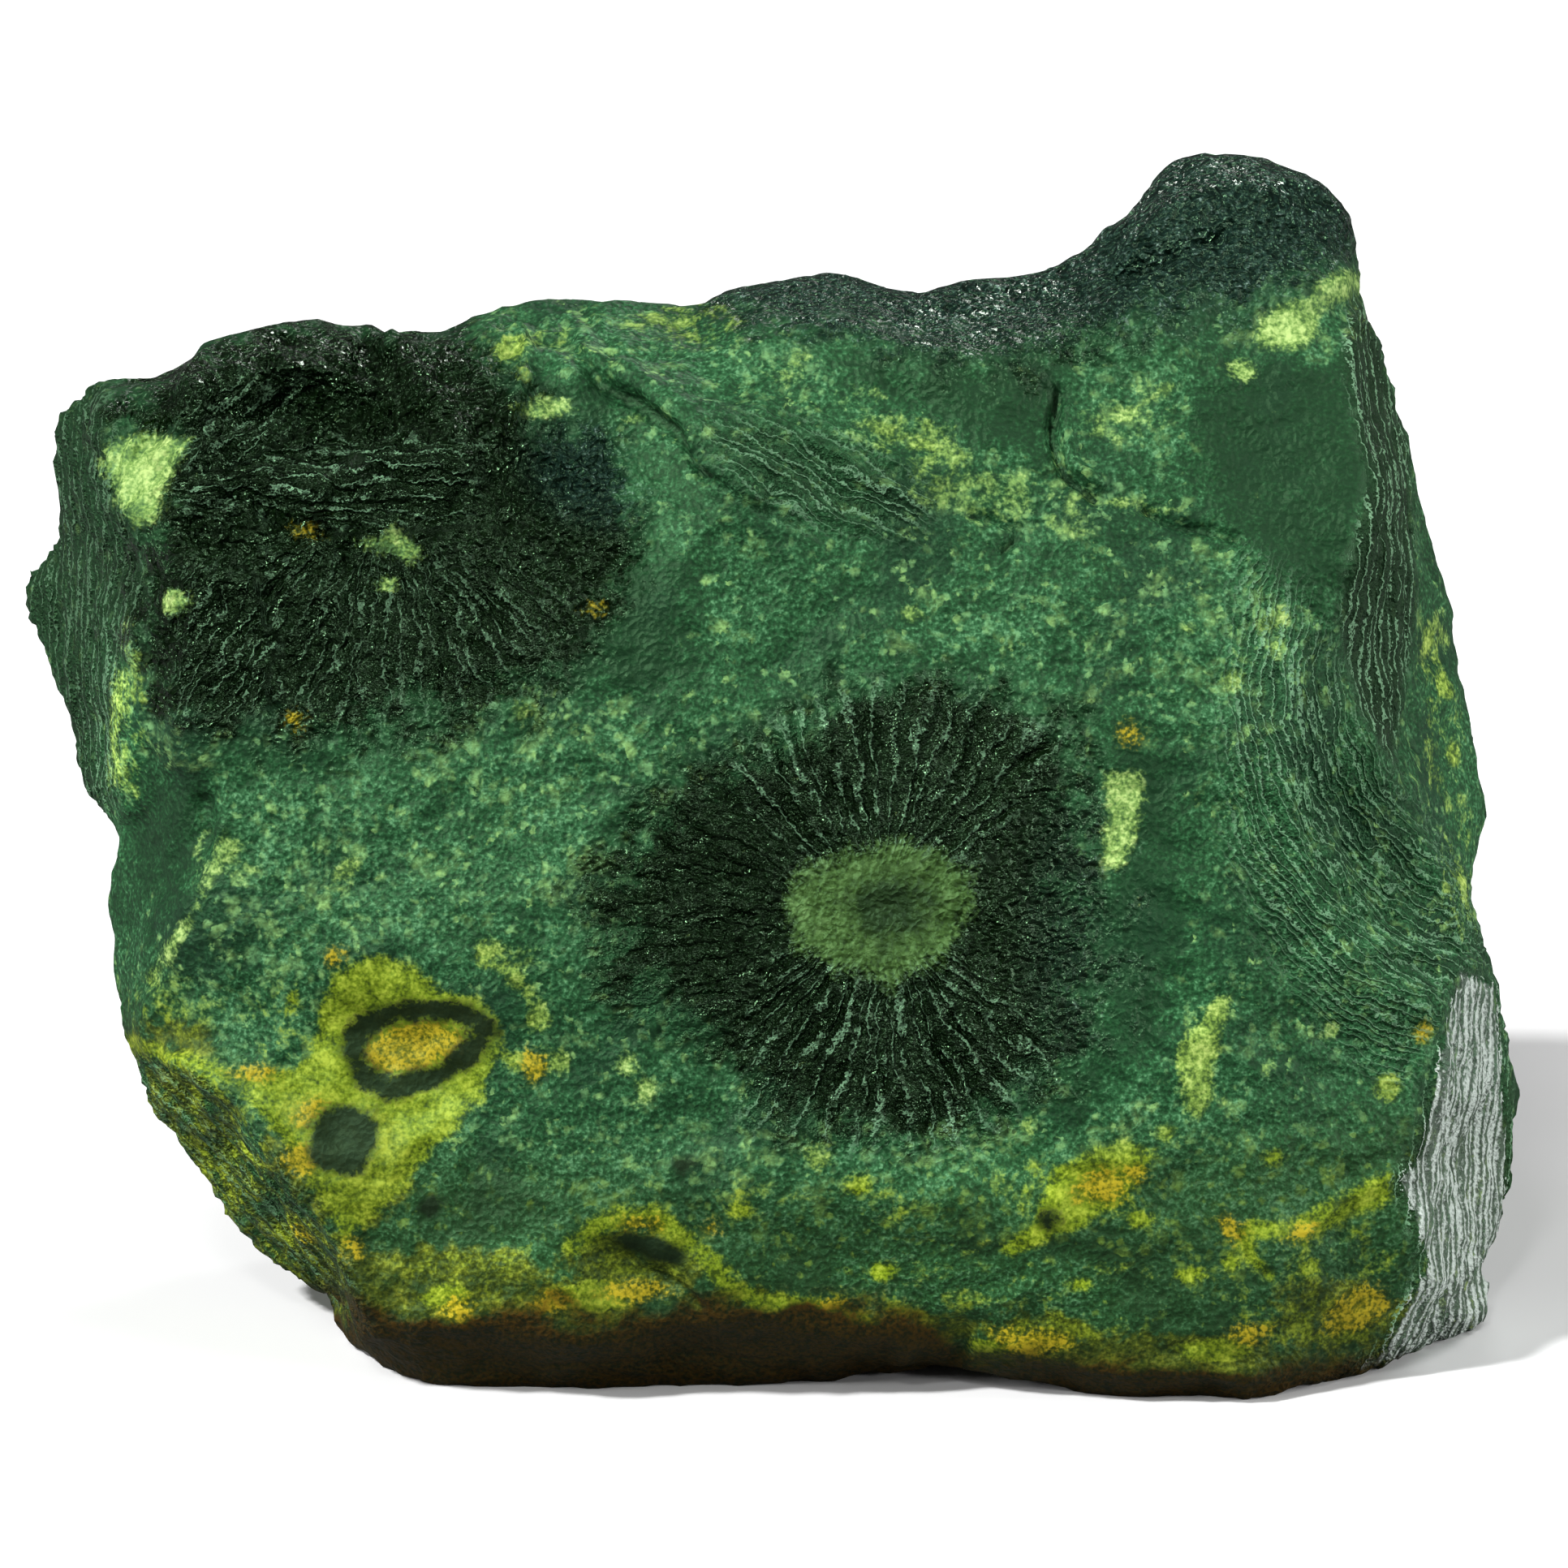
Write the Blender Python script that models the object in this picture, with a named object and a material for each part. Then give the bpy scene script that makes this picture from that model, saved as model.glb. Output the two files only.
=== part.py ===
"""A rough chunk of kambaba jasper, 50 mm wide, standing on its flat base with its broad face to the front.

The stone is one solid. It is drawn from its fracture edges: the widest outline (RIM), the edges of the faces in
front of it and those of the faces behind it. A skin is stretched over each set of edges, the two skins are sewn
together along the rim, and the stone is then roughened and set down on the table at z = 0.

Edges are lists of (across, up, forward) in millimetres, on a plane that leans back by LEAN. Across is to the
right, up is up the leaning plane, and forward is out of it, towards the front. The stone widens evenly from
front to back, so across and up are true sizes where forward is 0 and are scaled by TAPER elsewhere.
"""

import math

import bmesh
import bpy
import numpy as np
from mathutils import Vector, noise
from mathutils.geometry import delaunay_2d_cdt

MM = 0.001
NODE = "kambaba_jasper_stone"

# Driving dimensions, in millimetres
LEAN = math.radians(14)
TAPER = 1 / 240
MIDDLE_HEIGHT = 17.25
SET_ACROSS = 0.5
SET_BACK = -1.22
EDGE_STEP = 0.7
SKIN_STEP = 1.0
FRONT_SWELL = 0.022
BACK_SWELL = 0.016
RIDGE_WANDER = 0.35
RIDGE_WANDER_LENGTH = 2.6
WANDER_SHIFTS = (0, 37, 71)
SEWING_GAP = 0.002
VOXEL = 0.42
GROWTH = 0.2
LUMP_SIZE = 4.5
LUMP_HEIGHT = 0.3
LUMP_MIDDLE = 0.35
STONE_TRIANGLES = 6800
TABLE_WIDTH = 80
TABLE_DEPTH = 10

# The widest outline, clockwise from the upper left corner
RIM = [
    (-24.2, 12.3, 1.0), (-23.4, 13.0, 2.4), (-22.9, 13.5, 3.0), (-21.0, 13.7, 3.4), (-19.0, 14.6, 3.0),
    (-17.0, 15.4, 2.4), (-16.0, 15.4, 2.4), (-15.0, 15.0, 3.0), (-13.4, 15.0, 3.2), (-12.6, 15.2, 3.2),
    (-11.8, 15.1, 3.2), (-9.6, 15.9, 3.0), (-8.3, 16.2, 3.0), (-6.4, 16.2, 3.4), (-5.0, 16.05, 3.6),
    (-2.8, 16.0, 4.2), (-1.9, 16.4, 4.2), (0.0, 16.8, 4.0), (1.7, 17.0, 4.0), (3.2, 16.7, 4.6),
    (4.4, 16.3, 5.0), (6.0, 16.65, 4.8), (8.5, 17.15, 4.5), (10.3, 18.2, 4.2), (12.1, 19.8, 3.6),
    (12.5, 20.4, 3.4), (13.4, 21.05, 3.0), (15.1, 21.0, 3.0), (17.5, 20.35, 3.4), (18.3, 19.8, 3.4),
    (18.9, 19.1, 3.2), (19.25, 18.0, 3.0), (19.45, 16.3, 2.4), (20.0, 14.2, 0.0), (20.8, 11.8, -1.2),
    (21.6, 8.8, -1.8), (22.1, 6.4, -2.0), (22.6, 3.8, -2.0), (23.2, 0.6, -1.6), (23.4, -1.0, -1.5),
    (23.2, -2.6, -0.8), (23.1, -4.0, 0.2), (23.5, -6.0, 0.8), (24.1, -8.1, -1.0), (24.5, -10.3, -2.0),
    (24.2, -12.7, -1.8), (23.6, -15.7, -1.0), (23.3, -16.1, 0.2), (23.5, -17.1, 0.8),
    (23.4, -18.0, 1.3), (21.3, -18.9, 4.0), (19.3, -19.7, 6.2), (18.0, -20.1, 7.2), (16.6, -20.5, 8.0),
    (15.5, -20.75, 8.7), (14.2, -20.5, 8.2), (12.0, -20.6, 8.3), (10.0, -20.4, 7.8), (8.5, -20.1, 7.8),
    (7.0, -19.8, 7.8), (6.0, -19.55, 7.6), (5.0, -19.5, 7.2), (3.6, -19.65, 6.9), (0.0, -20.0, 7.0),
    (-3.0, -20.15, 7.0), (-6.5, -20.25, 7.2), (-12.0, -20.15, 7.1), (-12.8, -19.85, 6.4),
    (-14.2, -18.9, 4.6), (-14.7, -18.0, 3.0), (-15.0, -17.1, 1.6), (-17.0, -16.0, 0.4),
    (-18.1, -15.0, 0.0), (-18.7, -14.0, 0.2), (-20.3, -11.8, 1.2), (-21.1, -10.8, 2.4),
    (-21.2, -9.9, 3.4), (-22.1, -8.2, 3.2), (-22.2, -7.0, 3.0), (-22.4, -6.2, 3.0), (-22.7, -4.3, 3.2),
    (-22.6, -3.2, 3.6), (-22.3, -1.9, 4.0), (-22.7, -0.8, 1.6), (-23.4, 0.3, -0.4), (-23.6, 1.5, -1.0),
    (-24.0, 2.9, -1.6), (-24.9, 5.0, -2.6), (-25.5, 6.2, -3.0), (-25.6, 6.8, -3.0), (-25.0, 7.2, -2.8),
    (-24.3, 8.2, -1.6), (-24.2, 9.8, -0.6), (-24.35, 10.6, -0.2),
]

# The edges and hollows of the faces that look forward
FRONT = {
    "left_edge": [
        (-23.0, 12.8, 5.4), (-22.8, 11.2, 6.8), (-22.1, 9.5, 7.6), (-21.3, 7.8, 8.2), (-21.0, 6.2, 8.6),
        (-21.7, 4.3, 8.2), (-22.2, 2.4, 7.2), (-22.3, 0.5, 6.2), (-22.2, -1.0, 5.4),
    ],
    "tooth": [(-25.2, 6.7, -2.3), (-24.6, 6.8, -1.0)],
    "left_shoulder": [
        (-20.6, 12.4, 7.4), (-20.0, 11.0, 8.7), (-20.3, 9.4, 9.3), (-20.2, 7.8, 9.6), (-20.0, 6.2, 9.9),
        (-20.0, 4.6, 10.0), (-20.1, 2.8, 9.8), (-19.9, 0.8, 9.5),
    ],
    "bowl_lip": [
        (-19.9, 12.9, 7.5), (-19.2, 13.6, 7.2), (-18.0, 14.0, 7.0), (-16.5, 14.05, 7.0),
        (-15.0, 13.8, 7.2), (-13.7, 13.2, 7.7), (-12.8, 12.4, 8.4), (-12.4, 11.4, 9.3),
    ],
    "bowl_floor": [
        (-19.0, 12.3, 7.3), (-17.6, 12.8, 6.7), (-15.9, 12.6, 6.6), (-14.4, 12.0, 7.1),
        (-13.8, 11.1, 8.2),
    ],
    "bowl_foot": [
        (-19.4, 10.6, 8.7), (-17.5, 10.1, 8.8), (-15.5, 10.0, 9.1), (-13.4, 10.1, 9.5),
        (-11.6, 10.2, 9.8),
    ],
    "second_ridge": [(-10.1, 14.8, 5.6), (-10.2, 13.6, 7.5), (-10.4, 12.2, 8.7), (-10.9, 10.9, 9.6)],
    "nose": [
        (-6.5, 15.4, 5.4), (-5.7, 14.2, 7.4), (-5.3, 13.5, 8.3), (-4.0, 13.0, 9.1), (-3.0, 12.1, 9.8),
        (-1.8, 11.0, 10.4), (-0.6, 9.8, 10.7),
    ],
    "under_nose": [(-7.4, 13.2, 7.7), (-5.6, 12.8, 8.1), (-4.2, 12.1, 8.7), (-2.8, 10.9, 9.5)],
    "top_right_edge": [
        (-1.5, 15.0, 7.0), (2.0, 15.3, 7.5), (4.5, 14.6, 8.0), (7.0, 14.1, 8.2), (9.0, 14.5, 8.0),
        (12.0, 14.8, 7.7), (14.0, 15.4, 7.2), (16.0, 15.9, 6.8), (17.5, 16.6, 6.2), (18.9, 17.0, 5.2),
    ],
    "peak_front": [
        (11.6, 17.9, 5.8), (13.0, 19.4, 5.2), (15.2, 19.9, 4.9), (17.2, 19.2, 4.9), (18.4, 17.8, 4.8),
    ],
    "right_edge": [
        (19.2, 15.6, 5.2), (18.9, 14.4, 6.6), (19.0, 13.2, 7.4), (19.3, 12.0, 7.9), (19.5, 11.2, 8.3),
        (20.0, 10.1, 8.6), (19.8, 9.2, 8.9), (19.3, 8.0, 9.1), (18.9, 6.6, 9.2), (18.4, 5.4, 9.3),
        (17.6, 4.6, 9.5),
    ],
    "right_band_back": [
        (19.2, 15.2, 3.4), (19.6, 13.9, 3.2), (20.2, 12.0, 2.8), (20.7, 10.0, 2.4), (20.9, 8.0, 2.0),
        (21.0, 6.4, 2.0), (20.8, 4.6, 2.4), (20.8, 3.2, 3.0), (20.6, 1.6, 4.2), (20.3, 0.3, 5.3),
    ],
    "scoop_upper_edge": [
        (17.6, 4.6, 9.5), (18.6, 3.2, 8.8), (19.3, 2.0, 7.8), (19.9, 0.9, 6.8), (20.3, -0.3, 6.0),
    ],
    "scoop_left_edge": [
        (17.6, 4.6, 9.5), (17.1, 3.0, 10.1), (16.9, 0.5, 10.5), (16.9, -1.8, 10.5), (17.4, -3.8, 10.3),
        (18.3, -5.1, 10.0), (19.4, -6.2, 9.7), (20.6, -7.0, 9.2), (21.6, -7.5, 8.5),
    ],
    "scoop_floor": [
        (18.6, 1.6, 8.3), (18.5, -0.5, 8.0), (18.9, -2.4, 7.6), (19.8, -3.9, 7.2), (21.0, -5.1, 6.8),
        (22.1, -5.9, 6.3),
    ],
    "scoop_right_edge": [
        (20.3, -0.3, 6.0), (21.0, -1.5, 5.8), (21.7, -2.7, 5.5), (22.4, -3.9, 5.0), (22.9, -5.0, 3.8),
    ],
    "lower_right_edge": [
        (22.8, -6.3, 5.2), (22.2, -7.2, 7.4), (22.0, -8.6, 8.0), (21.8, -10.0, 8.2), (21.4, -11.4, 8.4),
        (20.9, -12.5, 8.7), (20.5, -13.4, 8.9), (20.9, -14.6, 8.7), (21.3, -15.8, 8.2),
        (21.7, -17.0, 7.4), (21.0, -17.9, 7.3), (19.8, -18.7, 7.4), (18.5, -19.4, 7.6),
    ],
    "lower_right_back": [
        (23.6, -7.2, 1.8), (23.7, -9.0, 1.2), (23.5, -11.0, 1.0), (23.3, -13.0, 1.0),
        (23.1, -15.0, 1.4), (23.0, -16.4, 2.0), (22.8, -17.6, 3.0),
    ],
    "bottom_edge": [
        (-13.4, -18.4, 8.6), (-12.0, -18.2, 9.6), (-10.0, -18.25, 10.0), (-8.9, -17.95, 10.3),
        (-7.3, -18.3, 10.2), (-6.0, -18.5, 10.0), (-4.4, -18.2, 10.2), (-2.0, -18.0, 10.4),
        (0.5, -17.85, 10.3), (1.8, -18.3, 9.9), (4.0, -18.6, 9.3), (5.0, -19.0, 8.5),
    ],
    "right_lobe_edge": [
        (6.5, -18.9, 9.3), (9.0, -19.4, 9.5), (12.0, -19.8, 9.5), (15.0, -19.9, 9.6),
        (17.3, -19.6, 8.8),
    ],
    "lower_left_edge": [
        (-21.4, -9.1, 6.2), (-19.9, -9.5, 7.8), (-18.7, -9.9, 8.7), (-17.8, -11.0, 9.0),
        (-16.9, -12.3, 9.3), (-15.9, -13.5, 9.5), (-15.1, -14.6, 9.6), (-14.5, -15.8, 9.5),
        (-14.0, -17.0, 9.2), (-13.4, -18.4, 8.6),
    ],
    "lower_left_shelf": [
        (-20.6, -10.6, 4.4), (-19.2, -12.4, 3.6), (-17.9, -14.2, 3.2), (-16.4, -15.5, 3.4),
        (-14.9, -16.8, 4.4),
    ],
    "left_step": [
        (-19.0, -1.0, 9.4), (-19.0, -3.0, 9.5), (-19.7, -4.2, 9.1), (-20.6, -5.8, 8.2),
        (-21.2, -7.2, 7.2), (-21.7, -8.2, 6.2),
    ],
    "left_hollow": [(-20.8, -1.6, 7.4), (-20.9, -3.2, 6.8), (-21.4, -4.8, 6.0)],
    "eye_lip": [
        (-16.0, -6.2, 10.2), (-14.4, -5.6, 10.6), (-12.8, -5.8, 10.8), (-11.6, -6.6, 10.9),
        (-10.4, -7.5, 10.9), (-9.9, -8.6, 10.8),
    ],
    "eye_floor": [(-14.6, -7.6, 9.9), (-12.6, -8.8, 10.0), (-11.6, -10.4, 10.1), (-13.4, -12.4, 10.0)],
    "chip_lip": [
        (-7.2, -16.4, 10.8), (-6.9, -15.3, 10.9), (-5.6, -14.7, 11.0), (-4.2, -14.8, 11.0),
        (-3.2, -15.6, 10.9), (-2.4, -16.7, 10.7), (-1.6, -17.3, 10.6),
    ],
    "chip_floor": [(-6.0, -16.1, 10.5), (-4.6, -16.5, 10.4), (-3.6, -17.1, 10.3)],
    "broad_crest": [
        (-9.0, 2.5, 10.8), (-4.0, -1.0, 11.1), (0.0, -4.0, 11.3), (4.0, -5.0, 11.4), (9.0, -4.0, 11.2),
    ],
    "lower_crest": [
        (-8.0, -11.0, 11.0), (-2.0, -12.5, 11.3), (6.0, -14.0, 11.3), (12.0, -15.0, 10.9),
        (17.0, -15.5, 10.0),
    ],
}

# The edges and hollows of the faces that look back and down
BACK = {
    "top_back_edge": [
        (-22.6, 11.8, -1.8), (-21.2, 12.9, -0.6), (-19.0, 13.7, -1.2), (-16.6, 14.6, -1.6),
        (-14.2, 14.0, -0.6), (-11.6, 14.3, -1.4), (-8.6, 15.3, -0.8), (-5.6, 15.0, -0.4),
        (-2.6, 15.2, -1.2), (1.0, 16.0, -1.6), (4.2, 15.3, -0.8), (8.2, 16.1, -1.4), (10.6, 17.5, -1.4),
        (12.4, 19.3, -1.6), (13.8, 20.3, -1.8), (15.4, 20.3, -2.2), (17.3, 19.6, -1.8),
        (18.4, 18.4, -1.4),
    ],
    "upper_ridge": [
        (-21.2, 9.2, -8.0), (-17.4, 11.0, -8.8), (-13.6, 10.4, -11.0), (-9.8, 12.0, -11.6),
        (-6.0, 12.4, -12.6), (-2.2, 11.0, -14.2), (2.2, 11.6, -13.4), (6.4, 11.0, -13.8),
        (9.6, 12.8, -11.8), (13.0, 13.4, -10.0), (15.4, 15.2, -7.8), (17.6, 14.4, -6.2),
    ],
    "upper_rib": [(-2.6, 15.2, -1.2), (-3.4, 14.6, -5.0), (-4.8, 13.9, -9.0), (-6.0, 12.4, -12.6)],
    "peak_rib": [(12.4, 19.3, -1.6), (11.6, 17.2, -5.0), (10.8, 14.8, -8.8), (9.6, 12.8, -11.8)],
    "upper_hollow": [(2.0, 14.3, -5.0), (3.6, 13.2, -8.0), (4.2, 12.2, -10.6)],
    "left_ridge": [
        (-21.2, 9.2, -8.0), (-21.9, 6.4, -8.6), (-21.8, 3.4, -9.4), (-20.4, 0.2, -11.2),
        (-19.6, -3.4, -11.4), (-18.9, -6.8, -10.4), (-17.0, -9.4, -10.2), (-15.4, -12.4, -8.8),
    ],
    "right_ridge": [
        (17.6, 14.4, -6.2), (18.0, 11.0, -8.6), (19.4, 6.6, -9.8), (19.2, 3.2, -11.8),
        (20.4, -1.4, -11.2), (21.0, -5.6, -10.6), (20.0, -9.2, -11.0), (20.2, -12.4, -8.8),
    ],
    "spine": [
        (-6.0, 12.4, -12.6), (-5.6, 9.0, -14.4), (-3.2, 5.6, -15.4), (-2.0, 1.6, -16.6),
        (1.2, -2.0, -17.0), (3.2, -6.0, -16.4), (6.6, -8.8, -15.6), (7.4, -12.0, -13.6),
    ],
    "cross_ridge": [
        (-3.2, 5.6, -15.4), (-7.0, 3.6, -15.2), (-10.4, 1.4, -15.4), (-13.6, 0.4, -14.0),
        (-17.2, -1.6, -12.8), (-19.6, -3.4, -11.4),
    ],
    "low_ridge": [(6.6, -8.8, -15.6), (11.0, -7.4, -14.4), (15.6, -7.0, -13.2), (21.0, -5.6, -10.6)],
    "left_scoop": [(-14.4, 6.6, -10.8), (-11.6, 6.2, -12.0), (-9.4, 7.4, -11.8)],
    "low_left_scoop": [(-12.6, -5.6, -12.2), (-7.6, -4.4, -13.8), (-2.6, -7.0, -14.0)],
    "right_scoop": [(7.0, 5.6, -13.2), (11.6, 4.0, -12.6), (15.2, 0.6, -12.0)],
    "left_flank_hollow": [(-23.0, 4.0, -4.6), (-21.9, -1.0, -4.4), (-21.2, -5.4, -4.2)],
    "right_flank_rib": [(20.4, 9.4, -5.2), (22.0, 2.0, -6.2), (22.6, -4.4, -5.4), (22.4, -11.6, -5.6)],
    "base_edge": [
        (-13.6, -18.1, 0.0), (-14.2, -16.7, -4.0), (-12.6, -15.8, -8.0), (-9.0, -14.8, -12.0),
        (-2.0, -14.6, -12.4), (5.0, -14.6, -12.4), (11.0, -15.0, -11.4), (16.0, -15.5, -9.8),
        (19.4, -16.3, -6.4), (21.2, -17.3, -3.0), (22.0, -18.1, 0.0),
    ],
}


def sampled(points, closed=False):
    """The points of a smooth curve through the given ones, about EDGE_STEP apart."""
    p = np.array(points, float)
    if closed:
        padded = np.vstack([p[-1:], p, p[:2]])
    else:
        padded = np.vstack([p[:1], p, p[-1:], p[-1:]])
    found = []
    for a, b, c, d in zip(padded[:-3], padded[1:-2], padded[2:-1], padded[3:], strict=True):
        count = 0 if np.allclose(b, c) else max(1, round(float(np.linalg.norm((c - b)[:2])) / EDGE_STEP))
        for i in range(count):
            t = i / count
            bend = 2 * a - 5 * b + 4 * c - d
            twist = 3 * b - a - 3 * c + d
            found.append(0.5 * (2 * b + (c - a) * t + bend * t**2 + twist * t**3))
    if not closed:
        found.append(p[-1])
    return np.array(found)


def wandering(points, seed):
    """The same curve, pushed about a little as a broken edge is. Its ends stay where they are."""
    moved = points.copy()
    for i, point in enumerate(points[1:-1], start=1):
        where = Vector(point) / RIDGE_WANDER_LENGTH + Vector((seed, 2 * seed, -seed))
        push = [noise.noise(where + Vector((0, 0, apart))) for apart in WANDER_SHIFTS]
        moved[i] = point + RIDGE_WANDER * np.array(push)
    return moved


def inside(points, outline):
    """Which of the points lie inside the closed outline."""
    x, y = points[:, 0, None], points[:, 1, None]
    ax, ay = outline[:, 0], outline[:, 1]
    bx, by = np.roll(ax, -1), np.roll(ay, -1)
    rise = np.where(by == ay, 1, by - ay)
    crosses = ((ay > y) != (by > y)) & (x < (bx - ax) * (y - ay) / rise + ax)
    return crosses.sum(axis=1) % 2 == 1


def open_ground(rim, held):
    """A triangular grid of (across, up) points inside the rim, clear of the held points."""
    low, high = rim.min(axis=0), rim.max(axis=0)
    row_step = SKIN_STEP * math.sqrt(3) / 2
    grid = []
    for row, up in enumerate(np.arange(low[1], high[1], row_step)):
        start = low[0] + SKIN_STEP / 2 * (row % 2)
        grid += [(across, up) for across in np.arange(start, high[0], SKIN_STEP)]
    grid = np.array(grid)
    grid = grid[inside(grid, rim)]
    clearance = 0.6 * SKIN_STEP
    return grid[[np.hypot(*(held[:, :2] - p).T).min() > clearance for p in grid]]


def skin(rim, edges, swell):
    """A skin stretched over the edges inside the rim: its (across, up, forward) points and its triangles.

    The rim and the edges are held. Every other point sits at the mean of its neighbours, so the skin hangs
    straight between edges and creases along them, and swell domes it outwards."""
    lines = [wandering(sampled(points), i) for i, points in enumerate(edges.values())]
    held = np.vstack([rim, *lines])
    flat = [Vector(p[:2]) for p in held] + [Vector(p) for p in open_ground(rim, held)]
    links = []
    start = len(rim)
    for line in lines:
        links += [(start + i, start + i + 1) for i in range(len(line) - 1)]
        start += len(line)
    outline = [list(range(len(rim)))]
    points, _, triangles, sources, _, _ = delaunay_2d_cdt(flat, links, outline, 1, 1e-4)

    count = len(points)
    forward = np.zeros(count)
    is_held = np.zeros(count, bool)
    for i, source in enumerate(sources):
        held_source = [s for s in source if s < len(held)]
        if held_source:
            forward[i] = held[held_source[0], 2]
            is_held[i] = True
    joined = np.zeros((count, count))
    for a, b, c in triangles:
        joined[[a, b, b, c, c, a], [b, a, c, b, a, c]] = 1
    free = np.flatnonzero(~is_held)
    neighbours = joined[free].sum(axis=1)
    known = joined[free] @ (forward * is_held) + swell * SKIN_STEP**2 * neighbours / 4
    forward[free] = np.linalg.solve(np.diag(neighbours) - joined[np.ix_(free, free)], known)
    return np.column_stack([np.array(points), forward]), triangles


def placed(point):
    """The place of an (across, up, forward) point, in metres, with the table at z = 0."""
    across, up, forward = point
    scale = 1 - forward * TAPER
    return MM * Vector((
        SET_ACROSS + across * scale,
        SET_BACK + up * scale * math.sin(LEAN) - forward * math.cos(LEAN),
        MIDDLE_HEIGHT + up * scale * math.cos(LEAN) + forward * math.sin(LEAN),
    ))


def sewn_skins():
    """One closed mesh from the front skin and the back skin, which share the rim.

    At a sharp corner of the rim both skins can have the same triangle, a flap with no thickness, which goes."""
    rim = sampled(RIM, closed=True)
    mesh = bmesh.new()
    for edges, swell in ((FRONT, FRONT_SWELL), (BACK, -BACK_SWELL)):
        points, triangles = skin(rim, edges, swell)
        corners = [mesh.verts.new(placed(p)) for p in points]
        for triangle in triangles:
            mesh.faces.new([corners[i] for i in triangle])
    bmesh.ops.remove_doubles(mesh, verts=mesh.verts, dist=SEWING_GAP * MM)
    flaps = [face for face in mesh.faces if any(edge.is_boundary for edge in face.edges)]
    bmesh.ops.delete(mesh, geom=flaps, context="FACES")
    bmesh.ops.recalc_face_normals(mesh, faces=mesh.faces)
    return mesh


def new_object(name, mesh):
    """An object in the scene that holds the given bmesh."""
    data = bpy.data.meshes.new(name)
    mesh.to_mesh(data)
    mesh.free()
    made = bpy.data.objects.new(name, data)
    bpy.context.scene.collection.objects.link(made)
    return made


def stone_material():
    material = bpy.data.materials.new("kambaba_jasper")
    material.use_nodes = True
    shader = material.node_tree.nodes["Principled BSDF"]
    shader.inputs["Base Color"].default_value = (0.024, 0.085, 0.045, 1)
    shader.inputs["Roughness"].default_value = 0.38
    shader.inputs["Metallic"].default_value = 0.0
    return material


def lump_texture():
    """Low rounded lumps with creases between them, all over the stone."""
    texture = bpy.data.textures.new("lumps", "CLOUDS")
    texture.noise_scale = LUMP_SIZE * MM
    texture.noise_depth = 1
    texture.noise_basis = "VORONOI_F2_F1"
    return texture


def table_cutter():
    """A block under the table, which takes the stone's base off flat at z = 0."""
    mesh = bmesh.new()
    bmesh.ops.create_cube(mesh, size=1)
    for corner in mesh.verts:
        corner.co.x *= TABLE_WIDTH * MM
        corner.co.y *= TABLE_WIDTH * MM
        corner.co.z = (corner.co.z - 0.5) * TABLE_DEPTH * MM
    cutter = new_object("table_cutter", mesh)
    cutter.hide_render = True
    cutter.display_type = "WIRE"
    return cutter


def triangles_so_far(body):
    """How many triangles the body has after the modifiers it has now."""
    evaluated = body.evaluated_get(bpy.context.evaluated_depsgraph_get())
    count = sum(len(face.vertices) - 2 for face in evaluated.to_mesh().polygons)
    evaluated.to_mesh_clear()
    return count


def stone():
    """The sewn skins as one even solid, lumpy, a little worn, in few triangles, and flat where it rests."""
    body = new_object(NODE, sewn_skins())
    body.data.materials.append(stone_material())

    even = body.modifiers.new("even_skin", "REMESH")
    even.mode = "VOXEL"
    even.voxel_size = VOXEL * MM

    grown = body.modifiers.new("growth", "DISPLACE")
    grown.mid_level = 0.0
    grown.strength = GROWTH * MM

    lumpy = body.modifiers.new("lumps", "DISPLACE")
    lumpy.texture = lump_texture()
    lumpy.texture_coords = "LOCAL"
    lumpy.strength = LUMP_HEIGHT * MM
    lumpy.mid_level = LUMP_MIDDLE

    worn = body.modifiers.new("worn_edges", "SMOOTH")
    worn.factor = 0.5
    worn.iterations = 2

    share_kept = STONE_TRIANGLES / triangles_so_far(body)
    fewer = body.modifiers.new("fewer_triangles", "DECIMATE")
    fewer.ratio = share_kept
    fewer.use_collapse_triangulate = True

    flat_base = body.modifiers.new("flat_base", "BOOLEAN")
    flat_base.operation = "DIFFERENCE"
    flat_base.solver = "EXACT"
    flat_base.object = table_cutter()


def main():
    for old in list(bpy.data.objects):
        bpy.data.objects.remove(old)
    stone()


main()
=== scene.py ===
"""The looks of a rough chunk of kambaba jasper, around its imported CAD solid.

The stone's skin is built again here from the same fracture edges as its solid, finely enough to carry
ripples, striations, chips and fissures as real relief. Its markings are named places on it, in the same
terms as the edges: (across, up, forward) in millimetres, on a plane that leans back by LEAN. Each place
becomes a smooth field over the stone, kept as a mesh attribute, and the material turns the fields into
ragged mineral edges with noise.
"""

import math
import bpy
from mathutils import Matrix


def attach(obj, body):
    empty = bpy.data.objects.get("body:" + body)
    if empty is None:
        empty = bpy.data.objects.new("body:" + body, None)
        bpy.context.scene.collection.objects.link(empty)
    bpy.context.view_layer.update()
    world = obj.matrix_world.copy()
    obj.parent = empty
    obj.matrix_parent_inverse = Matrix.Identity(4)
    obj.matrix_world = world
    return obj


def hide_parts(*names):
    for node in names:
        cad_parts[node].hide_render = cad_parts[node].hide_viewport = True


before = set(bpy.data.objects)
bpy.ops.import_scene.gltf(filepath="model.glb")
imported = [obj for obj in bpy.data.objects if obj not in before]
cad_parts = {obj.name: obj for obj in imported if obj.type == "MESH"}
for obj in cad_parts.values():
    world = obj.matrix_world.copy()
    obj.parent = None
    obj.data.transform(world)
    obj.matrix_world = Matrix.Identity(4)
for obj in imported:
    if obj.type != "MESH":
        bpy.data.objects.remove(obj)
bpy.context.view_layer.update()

from types import SimpleNamespace

import bmesh
import bpy
import numpy as np
from mathutils import Vector, noise
from mathutils.geometry import delaunay_2d_cdt

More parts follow.
